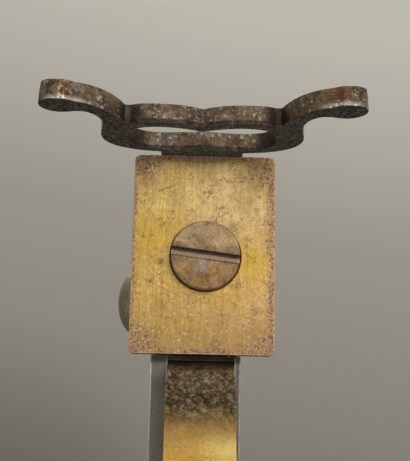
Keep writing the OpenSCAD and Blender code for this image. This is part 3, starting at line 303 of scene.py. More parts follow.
class Finish(Nodes):
    """One material's node tree, in millimetres of the object's own space."""

    def __init__(self, name):
        self.material = bpy.data.materials.new(name)
        super().__init__(self.material)
        self.out = self.add("ShaderNodeOutputMaterial")
        self.shader = self.add("ShaderNodeBsdfPrincipled")
        self.put(self.out.inputs[0], self.shader.outputs[0])
        place = self.add("ShaderNodeTexCoord").outputs["Object"]
        self.mm = self.stretched(place, (1 / MM,) * 3)

    def made(self, colour, roughness, **others):
        """The material, with its shader's inputs set."""
        sockets = {"Base_Color": colour, "Roughness": roughness, **others}
        for name, value in sockets.items():
            self.put(self.shader.inputs[name.replace("_", " ")], value)
        return self.material

    def stretched(self, vector, by):
        return self.add("ShaderNodeVectorMath", {0: vector, 1: by}, operation="MULTIPLY").outputs[0]

    def shifted(self, vector, by):
        return self.add("ShaderNodeVectorMath", {0: vector, 1: by}, operation="ADD").outputs[0]

    def place(self):
        """The x, y and z of a point on the object, in millimetres."""
        return self.axes(self.mm)

    def clouds(self, at, scale, detail, rough, bent=0.0):
        sockets = dict(Vector=at, Scale=scale, Detail=detail, Roughness=rough, Distortion=bent)
        return self.add("ShaderNodeTexNoise", sockets).outputs["Fac"]

    def grain(self, scale, detail=4.0, rough=0.55, stretch=None, bent=0.0, seed=0.0):
        """Noise with a number of features to a millimetre."""
        at = self.stretched(self.mm, stretch) if stretch else self.mm
        if seed:
            at = self.shifted(at, (seed, seed * 1.7, -seed))
        return self.clouds(at, scale, detail, rough, bent)

    def cells(self, scale, seed=0.0):
        """How far the nearest of scattered points is, with a number of them to a millimetre."""
        at = self.shifted(self.mm, (seed, -seed, seed * 2.3)) if seed else self.mm
        return self.add("ShaderNodeTexVoronoi", {"Vector": at, "Scale": scale}).outputs["Distance"]

    def specks(self, scale, low, high, seed):
        """Irregular specks, with a number of them to a millimetre."""
        return self.fade(self.grain(scale, 3.0, 0.6, seed=seed, bent=0.4), low, high)

    def dots(self, scale, size, seed):
        """Roundish specks of uneven size, with a number of them to a millimetre."""
        uneven = self.times(self.centred(self.grain(scale * 0.8, seed=seed)), 1.3)
        return self.fade(self.total(self.cells(scale, seed), uneven), size, size * 0.45)

    def near(self, x, y, reach, core):
        """1 within a core round a place in plan and 0 beyond a reach, in millimetres."""
        return self.fade(self.math("SQRT", self.squared(self.place(), (x, y))), reach, core)

    def patches(self, x, y, *places):
        """The largest of several round patches about a place: x, y, reach, core and strength."""
        return self.most(
            *(
                self.times(self.near(x + dx, y + dy, reach, core), strength)
                for dx, dy, reach, core, strength in places
            )
        )

    def scratch(self, x0, y0, x1, y1, width):
        """1 on a straight scratch between two places in plan, in millimetres."""
        x, y = self.place()[:2]
        long = math.hypot(x1 - x0, y1 - y0)
        dx, dy = (x1 - x0) / long, (y1 - y0) / long
        from_x, from_y = self.minus(x, x0), self.minus(y, y0)
        across = self.math("ABSOLUTE", self.mixed((from_x, -dy), (from_y, dx)))
        along = self.mixed((from_x, dx), (from_y, dy))
        ends = self.times(self.fade(along, 0.0, 1.0), self.fade(along, long, long - 1.5))
        return self.times(ends, self.fade(across, width / 2, 0.0))

    def facing(self, axis):
        """How far the surface's normal points along one of the object's own axes."""
        return self.axes(self.add("ShaderNodeTexCoord").outputs["Normal"])[axis]

    def rims(self, radius):
        """1 along the edges of the shape, where hands and cloths rub, and 0 away from them."""
        soft = self.add("ShaderNodeBevel", {"Radius": radius * MM}, samples=4).outputs[0]
        face = self.add("ShaderNodeNewGeometry").outputs["Normal"]
        turn = self.add("ShaderNodeVectorMath", {0: soft, 1: face}, operation="DOT_PRODUCT")
        return self.fade(self.minus(1.0, turn.outputs["Value"]), 0.02, 0.25)

    def bump(self, height, depth, strength, below=None):
        """A bump of a depth in millimetres, over the one below it."""
        sockets = {"Height": height, "Distance": depth * MM, "Strength": strength}
        node = self.add("ShaderNodeBump", sockets)
        if below is not None:
            self.put(node.inputs["Normal"], below)
        return node.outputs[0]

    def blend(self, share, below, above, mode="MIX"):
        sockets = {"Factor": share, 6: below, 7: above}
        return self.add("ShaderNodeMix", sockets, data_type="RGBA", blend_type=mode).outputs[2]

    def coats(self, colour, *layers):
        """A colour with others laid over it in order, each a mask, its share and the colour."""
        for mask, share, over in layers:
            colour = self.blend(self.times(mask, share), colour, over)
        return colour


PIT = (0.035, 0.028, 0.024)


def tint(colour, factor):
    """A colour made darker, or lighter up to white."""
    return tuple(min(1, c * factor) for c in colour)


def worn_metal(
    name, bright, tarnish, rough, deep=PIT, brush=(3.0, 3.0, 3.0), brush_depth=0.006,
    blotch=(0.45, 0.68), pits=(0.30, 0.16), rim=0.35, rim_colour=None, rim_metal=1.0,
    metal=1.0, painted_shade_x=None,
):
    """Brushed metal that has gone dull in blotches, with pits, fine scratches and rubbed edges; a
    pale rim colour makes the edges a painted highlight, and a given range in x starts a painted
    shade forward of it.
    """
    f = Finish(name)
    lines = f.grain(1.0, 5.0, 0.6, brush)
    cloud = f.grain(0.22, 6.0, 0.62, bent=0.6)
    fine = f.grain(2.4, 5.0, 0.65, seed=5.0)
    dull = f.fade(f.total(cloud, f.times(f.centred(fine), 0.35)), *blotch)
    spot = f.fade(f.cells(1.6, seed=3.0), *pits)
    spot = f.times(spot, f.fade(f.grain(0.7, 3.0, seed=11.0), 0.46, 0.62))
    rub = f.times(f.rims(rim), f.fade(fine, 0.3, 0.55))
    colour = f.coats(
        f.blend(f.fade(lines, 0.3, 0.7), bright, tint(bright, 0.82)),
        (dull, 1.0, tarnish),
        (spot, 0.85, deep),
        # Rubbed edges; with a pale rim colour, as on the lock steel, they are a painted highlight
        (rub, 0.75, rim_colour or tint(bright, 1.25)),
    )
    # Painted shade: forward of the given range in x the colour goes to the dark pit colour
    if painted_shade_x:
        colour = f.coats(colour, (f.fade(f.place()[0], *painted_shade_x), 0.85, deep))
    roughness = f.varied(rough, (dull, 0.16), (f.centred(lines), 0.25), (spot, 0.25), (rub, -0.10))
    normal = f.bump(lines, brush_depth, 0.6)
    normal = f.bump(spot, -0.02, 0.8, normal)
    normal = f.bump(cloud, 0.05, 0.3, normal)
    # Where the rim metal is set lower, the rims are less metal and paler, part of the painted
    # highlight
    metallic = f.fade(rub, 0.0, 1.0, metal, rim_metal) if rim_metal < metal else metal
    return f.made(colour, roughness, Metallic=metallic, Normal=normal)


def base_brass():
    """Brushed golden brass of the base plate, with purple-brown tarnish and pits on its edges."""
    look = bpy.context.scene.lighter_looks
    f = Finish("base_brass")
    x, y = f.place()[:2]
    lines = f.grain(1.0, 5.0, 0.62, (0.16, 5.0, 5.0))
    wide = f.grain(1.0, 3.0, 0.5, (0.05, 0.9, 0.9), seed=2.0)
    streak = f.grain(1.0, 4.0, 0.65, (0.09, 2.6, 2.6), seed=53.0)
    fine = f.grain(3.0, 6.0, 0.7, seed=7.0)
    cloud = f.grain(0.35, 6.0, 0.66, bent=0.9, seed=1.0)
    mottle = f.grain(0.9, 5.0, 0.65, bent=0.5, seed=12.0)
    to_left = f.times(f.fade(y, PLATE_Y1 - 2.4, PLATE_Y1), 0.72)
    edges = f.most(
        f.fade(x, PLATE_X1 - 1.3, PLATE_X1 - 0.1),
        f.times(f.fade(x, PLATE_X1 - 4.5, PLATE_X1 - 0.5), 0.25),
        f.times(to_left, f.fade(x, PLATE_X0 + 1.0, PLATE_X0 + 8.0, 0.55, 1.0)),
        f.times(f.fade(y, PLATE_Y0 + 1.0, PLATE_Y0), 0.75),
        f.times(f.fade(x, PLATE_X0 + 1.6, PLATE_X0), 0.8),
        f.patches(
            0.0, 0.0,
            (PLATE_X1, PLATE_Y1, 8.0, 1.5, 0.72),
            (PLATE_X1, PLATE_Y0, 6.5, 1.5, 0.80),
            (PLATE_X0, PLATE_Y0, 6.5, 1.5, 0.80),
            (PLATE_X0, PLATE_Y1, 6.0, 1.5, 0.72),
        ),
    )
    spread = f.mixed((edges, 0.62), (cloud, 0.45), (mottle, 0.45), (f.centred(fine), 0.55))
    brown = f.fade(spread, 0.70, 0.98)
    faint = f.fade(spread, 0.44, 0.76)
    pit = f.times(f.specks(2.8, 0.51, 0.60, 3.0), f.fade(spread, 0.56, 0.80))
    speck = f.times(f.specks(3.0, 0.60, 0.68, 9.0), f.fade(mottle, 0.42, 0.58))
    to_right = f.fade(y, FILLER_Y + 3.0, FILLER_Y - 3.0, 0.10, 0.75)
    # Stains in patches round the filler screw, and a painted shadow: a dark ring round the screw,
    # stronger on its -y side
    stains_and_shadow = f.most(
        f.patches(
            FILLER_X, FILLER_Y,
            (-0.9, -6.2, 1.1, 0.2, 1.0),
            (4.2, 3.9, 1.5, 0.2, 0.9),
            (5.1, -1.0, 1.5, 0.2, 0.5),
            (-3.9, 4.1, 1.2, 0.2, 0.7),
            (-5.3, -0.4, 2.0, 0.2, 0.55),
        ),
        f.times(f.near(FILLER_X, FILLER_Y, 5.6, 4.9), to_right),
    )
    stains_and_shadow = f.times(stains_and_shadow, f.fade(fine, 0.36, 0.58))
    worm = f.times(
        f.fade(f.apart(f.grain(0.8, 2.0, 0.5, bent=1.2, seed=31.0), 0.5), 0.026, 0.010),
        f.fade(f.grain(0.45, 2.0, seed=37.0), 0.51, 0.58),
    )
    yellow = f.patches(
        PLATE_X0, PLATE_Y0,
        (16.5, 2.8, 5.0, 0.5, 1.0),
        (12.5, 17.0, 5.5, 0.5, 1.0),
        (8.0, 13.0, 4.0, 0.5, 0.7),
    )
    pale = f.times(f.near(PLATE_X1 - 6.0, PLATE_Y1 - 6.5, 9.0, 2.0), f.fade(fine, 0.35, 0.60))
    glitter = f.times(f.specks(3.2, 0.57, 0.65, 71.0), f.fade(mottle, 0.40, 0.60))
    marks = f.scratch(PLATE_X0 + 11.2, PLATE_Y0, PLATE_X0 + 7.3, -1.5, 0.16)
    for x0, y0, x1, y1, width in (
        (4.0, 3.5, 9.5, 7.0, 0.08),
        (17.5, -8.0, 25.0, -5.7, 0.08),
        (13.0, 6.7, 22.0, 9.1, 0.07),
        (2.0, -5.5, 7.0, -8.5, 0.07),
    ):
        mark = f.scratch(PLATE_X0 + x0, y0, PLATE_X0 + x1, y1, width)
        marks = f.most(marks, f.times(mark, 0.7))
    rub = f.times(f.rims(0.42), f.fade(fine, 0.36, 0.50))
    red, green, blue = look.brass
    clean = f.coats(
        tuple(look.brass),
        (f.fade(y, PLATE_Y0 + 4.0, PLATE_Y1 - 3.0), 1.0, (red * 1.14, green * 1.09, blue * 1.6)),
        (f.fade(x, PLATE_X0 + 12.0, PLATE_X1 - 3.0), 0.85, (1.0, 0.74, 0.29)),
    )
    dapple = f.ramp(
        f.mixed((f.grain(1.5, 5.0, 0.72, bent=0.3, seed=51.0), 0.45), (fine, 0.30), (streak, 0.25)),
        (0.37, (0.38, 0.31, 0.24)),
        (0.45, (0.79, 0.74, 0.68)),
        (0.52, (1.00, 1.00, 1.00)),
        (0.60, (1.32, 1.32, 1.42)),
    )
    colour = f.coats(
        f.blend(0.9, clean, dapple, "MULTIPLY"),
        (f.times(yellow, f.fade(mottle, 0.28, 0.54)), 0.85, (0.80, 0.525, 0.060)),
        (pale, 0.60, (1.0, 0.76, 0.44)),
        (f.fade(lines, 0.58, 0.36), 0.22, (0.40, 0.25, 0.08)),
        (f.fade(wide, 0.42, 0.68), 0.26, (0.52, 0.340, 0.095)),
        (f.fade(cloud, 0.46, 0.62), 0.30, (0.60, 0.350, 0.120)),
        (f.fade(x, PLATE_X0 + 11.0, PLATE_X0), 0.80, (0.47, 0.290, 0.110)),
        (faint, 0.38, (0.50, 0.290, 0.150)),
        (brown, 0.88, tuple(look.tarnish)),
        (pit, 0.84, (0.095, 0.050, 0.038)),
        (speck, 0.58, (0.13, 0.07, 0.035)),
        (stains_and_shadow, 0.80, (0.085, 0.060, 0.035)),
        (worm, 0.62, (0.18, 0.095, 0.05)),
        (glitter, 0.55, (1.0, 0.86, 0.56)),
        (marks, 0.55, (0.20, 0.12, 0.05)),
        (rub, 0.80, (1.0, 0.80, 0.46)),
    )
    roughness = f.varied(0.34, (brown, 0.16), (pit, 0.3), (stains_and_shadow, 0.15), (f.centred(lines), 0.3))
    normal = f.bump(lines, 0.010, 0.7)
    normal = f.bump(cloud, 0.10, 0.25, normal)
    normal = f.bump(f.total(pit, marks, f.times(worm, 0.6)), -0.03, 0.8, normal)
    dull = f.most(pit, f.times(brown, 0.30), f.times(stains_and_shadow, 0.5))
    metallic = f.minus(1.0, f.times(dull, 0.7))
    return f.made(colour, roughness, Metallic=metallic, Normal=normal)


def filler_brass():
    """Pinkish brown brass of the filler screw, ochre in places, with a pale floor to its slot, and
    dirt and painted shadow in and round the slot.
    """
    f = Finish("filler_brass")
    x, y, z = f.place()
    cloud = f.grain(0.50, 6.0, 0.65, bent=0.5, seed=6.0)
    fine = f.grain(3.5, 6.0, 0.7, seed=8.0)
    grit = f.grain(2.2, 6.0, 0.75, seed=61.0)
    turned = f.grain(1.0, 4.0, 0.6, (4.0, 0.8, 4.0), bent=0.4)
    ochre = f.times(
        f.fade(f.grain(0.42, 4.0, 0.6, seed=27.0), 0.50, 0.62),
        f.fade(x, FILLER_X + 1.0, FILLER_X - 2.5, 0.15, 1.0),
    )
    patches = f.patches(
        FILLER_X, FILLER_Y,
        (-1.9, -2.6, 1.5, 0.3, 1.0),
        (-2.6, 1.6, 1.7, 0.3, 1.0),
        (-3.9, -0.6, 1.2, 0.2, 0.6),
    )
    bloom = f.times(f.near(FILLER_X - 1.6, FILLER_Y - 0.4, 1.6, 0.2), f.fade(fine, 0.36, 0.58))
    spot = f.times(f.specks(2.4, 0.57, 0.65, 2.0), f.fade(cloud, 0.62, 0.45))
    over = f.mixed((f.minus(x, FILLER_X), SLOT_ACROSS[0]), (f.minus(y, FILLER_Y), SLOT_ACROSS[1]))
    ragged = f.times(f.centred(fine), 0.5)
    # Dirt and painted shadow: the slot and a thin ragged rim round it go dark, and a painted shade
    # fades out forward of the slot
    grime_and_shadow = f.most(
        f.fade(f.total(f.math("ABSOLUTE", over), ragged), SLOT_HALF + 0.16, SLOT_HALF + 0.02),
        f.times(
            f.fade(over, SLOT_HALF - 0.1, SLOT_HALF),
            f.fade(over, SLOT_HALF + 1.3, SLOT_HALF, 0.0, 0.42),
        ),
    )
    # The pale floor shows only where it is left out of the painted shadow, narrower than the slot's
    # floor
    floor = f.times(
        f.fade(z, FILLER_Z0 + 0.5, FILLER_Z0 + 0.75),
        f.fade(f.facing(2), -0.5, -0.9),
        f.fade(f.total(over, ragged), SLOT_HALF - 0.32, SLOT_HALF - 0.52),
        f.fade(f.total(over, ragged), 0.16 - SLOT_HALF, 0.30 - SLOT_HALF),
    )
    rub = f.times(f.rims(0.22), f.fade(fine, 0.38, 0.54), f.minus(1.0, grime_and_shadow))
    brown = f.ramp(
        f.mixed((cloud, 0.70), (fine, 0.30)),
        (0.34, (0.170, 0.102, 0.050)),
        (0.45, (0.330, 0.212, 0.105)),
        (0.56, (0.460, 0.318, 0.172)),
        (0.72, (0.570, 0.425, 0.265)),
    )
    colour = f.coats(
        brown,
        (f.fade(x, FILLER_X - 0.4, FILLER_X + 0.8), 0.22, (0.70, 0.520, 0.320)),
        (ochre, 0.85, (0.42, 0.222, 0.062)),
        (f.fade(x, FILLER_X + 0.6, FILLER_X - 0.6), 0.30, (0.20, 0.125, 0.070)),
        (f.times(patches, f.fade(fine, 0.34, 0.56)), 0.80, (0.40, 0.205, 0.050)),
        (bloom, 0.60, (0.48, 0.430, 0.360)),
        (f.fade(grit, 0.50, 0.34), 0.60, (0.12, 0.072, 0.040)),
        (f.fade(grit, 0.54, 0.68), 0.55, (0.66, 0.520, 0.380)),
        (spot, 0.60, (0.10, 0.06, 0.04)),
        (grime_and_shadow, 0.85, (0.075, 0.048, 0.038)),
        (floor, f.fade(fine, 0.25, 0.5), (0.43, 0.305, 0.240)),
        (rub, 0.55, (0.66, 0.52, 0.34)),
    )
    normal = f.bump(turned, 0.012, 0.5)
    normal = f.bump(f.total(spot, cloud, grime_and_shadow), -0.03, 0.5, normal)
    roughness = f.varied(0.38, (f.centred(cloud), 0.5))
    return f.made(colour, roughness, Metallic=0.92, Normal=normal)


def foot_bronze():
    """Patina of the foot: brown with pale specks on its edges; its flat faces are painted near
    black, a painted shade.
    """
    f = Finish("foot_bronze")
    x, y, z = f.place()
    outward = f.apart(y, FOOT_Y)
    flat = f.fade(f.math("ABSOLUTE", f.facing(0)), 0.55, 0.85)
    cloud = f.grain(0.30, 6.0, 0.66, bent=0.8, seed=3.0)
    fine = f.grain(2.8, 6.0, 0.7, seed=1.0)
    mottle = f.grain(1.0, 5.0, 0.68, bent=0.6, seed=41.0)
    grit = f.grain(2.0, 6.0, 0.78, seed=63.0)
    on_left = f.times(f.fade(f.apart(y, 15.8), 2.8, 0.6), 0.9)
    on_right = f.fade(f.apart(y, -17.1), 1.7, 0.3)
    orange = f.times(f.most(on_right, on_left), f.fade(mottle, 0.30, 0.55))
    grey = f.times(
        f.fade(f.grain(0.8, 5.0, 0.7, seed=17.0), 0.44, 0.64), f.fade(y, 6.0, -4.0, 0.6, 1.0)
    )
    speck = f.times(
        f.most(f.dots(1.3, 0.30, 5.0), f.times(f.dots(2.5, 0.34, 15.0), 0.7)),
        f.fade(f.grain(0.42, 4.0, seed=19.0), 0.38, 0.54),
    )
    lip = f.times(
        f.fade(x, FOOT_X0 + 0.62, FOOT_X0 + 0.40), f.fade(outward, 11.0, 9.5), f.fade(z, 4.0, 6.0)
    )
    # Painted shade: dark where the ring meets the legs, above about 5 mm
    junction_shade = f.times(f.fade(outward, 7.0, 8.4), f.fade(outward, 11.0, 10.3), f.fade(z, 4.5, 5.5))
    dark = f.times(f.specks(1.8, 0.60, 0.68, 21.0), f.fade(mottle, 0.60, 0.42))
    rub = f.times(f.rims(0.26), f.fade(fine, 0.40, 0.54))
    # Painted highlight: pale, smooth patches on the rear lower edges near both tips
    painted_tip_highlight = f.times(
        f.fade(outward, 13.5, 15.5),
        f.fade(outward, 19.4, 17.6),
        f.fade(x, FOOT_X0 + 0.75, FOOT_X0 + 0.12),
        f.fade(flat, 0.6, 0.0),
        f.fade(fine, 0.30, 0.50, 0.55, 1.0),
    )
    brown = f.ramp(
        f.mixed((cloud, 0.45), (mottle, 0.35), (fine, 0.20)),
        (0.36, (0.032, 0.024, 0.016)),
        (0.46, (0.084, 0.056, 0.032)),
        (0.56, (0.150, 0.102, 0.058)),
        (0.68, (0.225, 0.160, 0.098)),
    )
    edge = f.coats(
        brown,
        (orange, 0.75, (0.250, 0.120, 0.045)),
        (grey, 0.50, (0.215, 0.195, 0.165)),
        (speck, 0.60, (0.45, 0.40, 0.33)),
        (lip, 0.80, (0.022, 0.019, 0.014)),
        (junction_shade, f.fade(y, -6.0, 6.0, 0.80, 0.92), (0.040, 0.026, 0.018)),
    )
    # Painted shade: the faces across x, turned from the light, are painted near black, with pale
    # specks
    face = f.coats(
        f.blend(f.fade(grit, 0.40, 0.62), (0.026, 0.025, 0.019), (0.168, 0.163, 0.135)),
        (speck, 0.30, (0.30, 0.29, 0.25)),
    )
    colour = f.coats(
        f.blend(flat, edge, face),
        (dark, 0.75, (0.026, 0.020, 0.015)),
        # Pale rubbed edges: wear, and also a painted highlight along the chamfers
        (rub, 0.42, (0.62, 0.55, 0.46)),
        (painted_tip_highlight, 0.85, (0.85, 0.80, 0.72)),
    )
    roughness = f.varied(0.46, (f.centred(fine), 0.4), (flat, 0.26), (painted_tip_highlight, -0.26), (speck, 0.22))
    normal = f.bump(cloud, 0.12, 0.35)
    normal = f.bump(f.minus(speck, dark), 0.025, 0.7, normal)
    normal = f.bump(fine, 0.02, 0.5, normal)
    metallic = f.minus(0.92, f.times(f.most(speck, f.times(grey, 0.6)), 0.55))
    return f.made(colour, roughness, Metallic=metallic, Normal=normal)


def guard_brass():
    """Brass strap: dark brown with pale specks by the tank, turning gold along the bow, partly
    tarnish and rubbing and partly painted shade and light, with a painted highlight on the bow.
    """
    f = Finish("guard_brass")
    x, y = f.place()[:2]
    cloud = f.grain(0.3, 6.0, 0.66, bent=0.7, seed=2.0)
    fine = f.grain(2.6, 6.0, 0.7, seed=4.0)
    mottle = f.grain(0.9, 5.0, 0.66, bent=0.5, seed=44.0)
    lines = f.grain(1.0, 5.0, 0.6, (0.2, 4.5, 4.5))
    shift = f.mixed((f.centred(cloud), 5.0), (f.centred(mottle), 3.0))
    # Wear and painted light: dark towards the tank and gold along the bow, partly tarnish rubbed
    # away and partly the painted shade and light of the curve
    worn_and_lit = f.fade(f.total(x, shift), GUARD_X1 - 5.5, GUARD_X1 - 11.0)
    ruddy = f.times(f.fade(mottle, 0.46, 0.62), f.fade(x, GUARD_X1 - 15.0, GUARD_X1 - 8.0))
    # Painted highlight: a bright yellow patch towards the rear of the bow, stronger on its +y side,
    # and smoother there
    painted_highlight = f.times(
        f.fade(f.total(x, f.times(f.centred(mottle), 4.0)), GUARD_X1 - 8.5, GUARD_X1 - 11.5),
        f.fade(f.minus(y, f.times(mottle, 3.0)), -2.0, 3.0, 0.10, 1.0),
    )
    speck = f.times(
        f.most(
            f.times(f.specks(1.5, 0.52, 0.70, 7.0), 0.9),
            f.times(f.dots(1.2, 0.34, 7.0), 0.55),
            f.times(f.dots(2.3, 0.36, 8.0), 0.6),
        ),
        f.fade(x, GUARD_X1 - 0.6, GUARD_X1 - 2.6, 0.25, 1.0),
        f.fade(worn_and_lit, 1.0, 0.25),
    )
    rub = f.times(f.rims(0.28), f.fade(fine, 0.36, 0.54), f.total(0.25, f.times(worn_and_lit, 0.75)))
    gold = f.coats(
        f.blend(f.fade(lines, 0.3, 0.7), (0.41, 0.226, 0.048), (0.55, 0.328, 0.080)),
        (f.fade(y, -2.0, -4.5), 0.5, (0.46, 0.205, 0.040)),
        (ruddy, 0.7, (0.50, 0.36, 0.20)),
        (f.fade(fine, 0.54, 0.70), 0.35, (0.42, 0.23, 0.075)),
        (painted_highlight, 0.92, (1.0, 0.745, 0.25)),
    )
    brown = f.coats(
        f.blend(f.fade(mottle, 0.36, 0.64), (0.032, 0.022, 0.011), (0.112, 0.076, 0.038)),
        # Painted shade: darkest at the end by the tank
        (f.fade(x, GUARD_X1 - 1.0, GUARD_X1), 0.7, (0.045, 0.042, 0.030)),
    )
    colour = f.coats(
        f.blend(worn_and_lit, brown, gold),
        (speck, 0.62, (0.43, 0.35, 0.24)),
        (rub, 0.7, (0.84, 0.62, 0.30)),
    )
    roughness = f.varied(
        f.fade(worn_and_lit, 0.0, 1.0, 0.46, 0.32), (f.centred(fine), 0.34), (painted_highlight, -0.15), (speck, 0.15)
    )
    normal = f.bump(lines, 0.008, 0.6)
    normal = f.bump(f.total(speck, cloud, mottle), 0.05, 0.4, normal)
    return f.made(colour, roughness, Metallic=0.95, Normal=normal)


def walnut():
    """Oiled walnut: long dark figure that follows the butt, with open pores."""
    look = bpy.context.scene.lighter_looks
    f = Finish("walnut")
    sockets = {"Vector": f.mm, "Angle": BUTT_SLOPE}
    slope = f.add("ShaderNodeVectorRotate", sockets, rotation_type="Y_AXIS").outputs[0]
    wave = f.clouds(f.stretched(slope, (0.05, 0.42, 0.42)), 1.0, 5.0, 0.6, 1.6)
    figure = f.math("FRACT", f.times(wave, 7.0))
    figure = f.times(f.fade(figure, 0.0, 0.55), f.fade(figure, 1.0, 0.80))
    pore = f.fade(f.clouds(f.stretched(slope, (0.55, 7.0, 7.0)), 1.0, 3.0, 0.6), 0.40, 0.30)
    fibre = f.grain(1.0, 5.0, 0.65, (0.35, 3.5, 3.5), seed=3.0)
    dark, light = tuple(look.walnut_dark), tuple(look.walnut_light)
    colour = f.coats(
        f.blend(wave, dark, light),
        (figure, 0.55, dark),
        (f.fade(fibre, 0.35, 0.75), 0.35, tint(light, 1.5)),
        (pore, 0.8, (0.018, 0.009, 0.005)),
        (f.rims(0.6), 0.5, tint(light, 1.8)),
    )
    normal = f.bump(pore, -0.05, 0.7)
    normal = f.bump(fibre, 0.015, 0.5, normal)
    roughness = f.varied(0.34, (pore, 0.3), (f.centred(fibre), 0.2))
    return f.made(colour, roughness, Normal=normal, Coat_Weight=0.25, Coat_Roughness=0.22)


def washer_leather():
    """Dark leather of the filler's washer."""
    f = Finish("washer_leather")
    fine = f.grain(4.0, 5.0)
    colour = f.blend(f.fade(fine, 0.3, 0.7), (0.030, 0.018, 0.012), (0.085, 0.050, 0.030))
    return f.made(colour, 0.75, Normal=f.bump(f.cells(3.0), 0.05, 0.8))


def felt():
    """Cream cotton felt, stained by the fuel in places."""
    f = Finish("felt")
    fibre = f.grain(5.0, 8.0, 0.75, bent=2.5)
    colour = f.coats(
        f.blend(f.fade(fibre, 0.3, 0.7), (0.58, 0.53, 0.42), (0.84, 0.80, 0.70)),
        (f.fade(f.grain(0.5, 4.0), 0.5, 0.7), 0.4, (0.55, 0.46, 0.30)),
    )
    return f.made(colour, 0.95, Normal=f.bump(fibre, 0.12, 0.9), Sheen_Weight=0.4)


def wick_cotton():
    """Cotton yarn, charred at the wick's top."""
    f = Finish("wick_cotton")
    fibre = f.grain(9.0, 5.0, 0.7, bent=1.0)
    height = f.total(f.place()[2], f.times(fibre, 0.8))
    colour = f.coats(
        f.blend(f.fade(fibre, 0.3, 0.7), (0.50, 0.42, 0.28), (0.80, 0.74, 0.60)),
        (f.fade(height, WICK_Z1 - 1.0, WICK_Z1 + 0.2), 1.0, (0.02, 0.017, 0.015)),
    )
    return f.made(colour, 0.9, Normal=f.bump(fibre, 0.03, 0.8), Sheen_Weight=0.3)


FINISHES = (
    base_brass, filler_brass, foot_bronze, guard_brass, walnut, washer_leather, felt, wick_cotton,
)
METALS = {
    "tank_steel": dict(
        bright=(0.30, 0.295, 0.275), tarnish=(0.190, 0.172, 0.145), rough=0.36,
        brush=(0.2, 4.0, 4.0), blotch=(0.34, 0.76), rim_colour=(0.62, 0.60, 0.55)),
    "bright_brass": dict(
        bright=(0.74, 0.53, 0.22), tarnish=(0.40, 0.25, 0.10), rough=0.26,
        deep=(0.10, 0.06, 0.03)),
    "flint_metal": dict(
        bright=(0.18, 0.18, 0.185), tarnish=(0.09, 0.088, 0.085), rough=0.62, brush_depth=0.01),
    "spring_steel": dict(
        bright=(0.30, 0.34, 0.44), tarnish=(0.14, 0.15, 0.20), rough=0.30,
        brush=(0.6, 5.0, 5.0)),
    "dark_steel": dict(
        bright=(0.320, 0.285, 0.183), tarnish=(0.200, 0.176, 0.110), rough=0.46,
        deep=(0.07, 0.062, 0.043), brush=(1.2, 1.2, 1.2), brush_depth=0.002,
        blotch=(0.42, 0.72), pits=(0.18, 0.08), rim_colour=(0.30, 0.29, 0.25), metal=0.75),
    "wheel_steel": dict(
        bright=(0.36, 0.355, 0.34), tarnish=(0.16, 0.12, 0.085), rough=0.34,
        brush=(5.0, 0.3, 5.0), rim_colour=(0.75, 0.74, 0.70)),
    "gear_brass": dict(
        bright=(0.70, 0.50, 0.21), tarnish=(0.36, 0.24, 0.10), rough=0.28,
        deep=(0.07, 0.045, 0.025), brush=(4.0, 0.3, 4.0)),
    "pin_steel": dict(
        bright=(0.52, 0.515, 0.49), tarnish=(0.24, 0.21, 0.17), rough=0.28,
        brush=(3.0, 0.5, 3.0)),
    "screw_brass": dict(
        bright=(0.50, 0.35, 0.17), tarnish=(0.24, 0.16, 0.09), rough=0.36,
        deep=(0.05, 0.035, 0.022), rim_colour=(0.72, 0.55, 0.30)),
    # Lock steel: its pale rims are a painted highlight along the chamfers, and forward of just
    # behind the base plate's rear edge it is painted dark, a painted shade by the tank
    "lock_steel": dict(
        bright=(0.205, 0.195, 0.162), tarnish=(0.120, 0.113, 0.088), rough=0.38,
        brush=(0.2, 4.0, 4.0), blotch=(0.32, 0.76), pits=(0.18, 0.09),
        rim=0.45, rim_colour=(0.95, 0.92, 0.82), rim_metal=0.20,
        painted_shade_x=(PLATE_X0 - 1.6, PLATE_X0 - 0.7)),
    "screw_steel": dict(
        bright=(0.25, 0.255, 0.27), tarnish=(0.10, 0.10, 0.115), rough=0.30,
        rim_colour=(0.60, 0.59, 0.56)),
    "cock_steel": dict(
        bright=(0.33, 0.325, 0.31), tarnish=(0.15, 0.135, 0.115), rough=0.34,
        brush=(4.0, 0.4, 0.6), rim_colour=(0.70, 0.68, 0.63)),
    "stem_steel": dict(
        bright=(0.46, 0.455, 0.435), tarnish=(0.20, 0.17, 0.14), rough=0.32,
        brush=(0.3, 5.0, 5.0)),
    "cap_brass": dict(
        bright=(0.66, 0.45, 0.18), tarnish=(0.30, 0.18, 0.075), rough=0.30,
        deep=(0.06, 0.038, 0.022), brush=(1.5, 1.5, 4.0), rim_colour=(0.86, 0.68, 0.40)),
    "trigger_steel": dict(
        bright=(0.42, 0.41, 0.39), tarnish=(0.19, 0.165, 0.135), rough=0.30,
        brush=(4.0, 0.4, 4.0)),
}
made_finishes = {}


def finish_of(name):
    """The material of a name, made when it is first asked for."""
    if name not in made_finishes:
        makers = {maker.__name__: maker for maker in FINISHES}
        made_finishes[name] = makers[name]() if name in makers else worn_metal(name, **METALS[name])
    return made_finishes[name]


# Pieces: each group's nodes, with the finish and how far the edges are worn, in millimetres

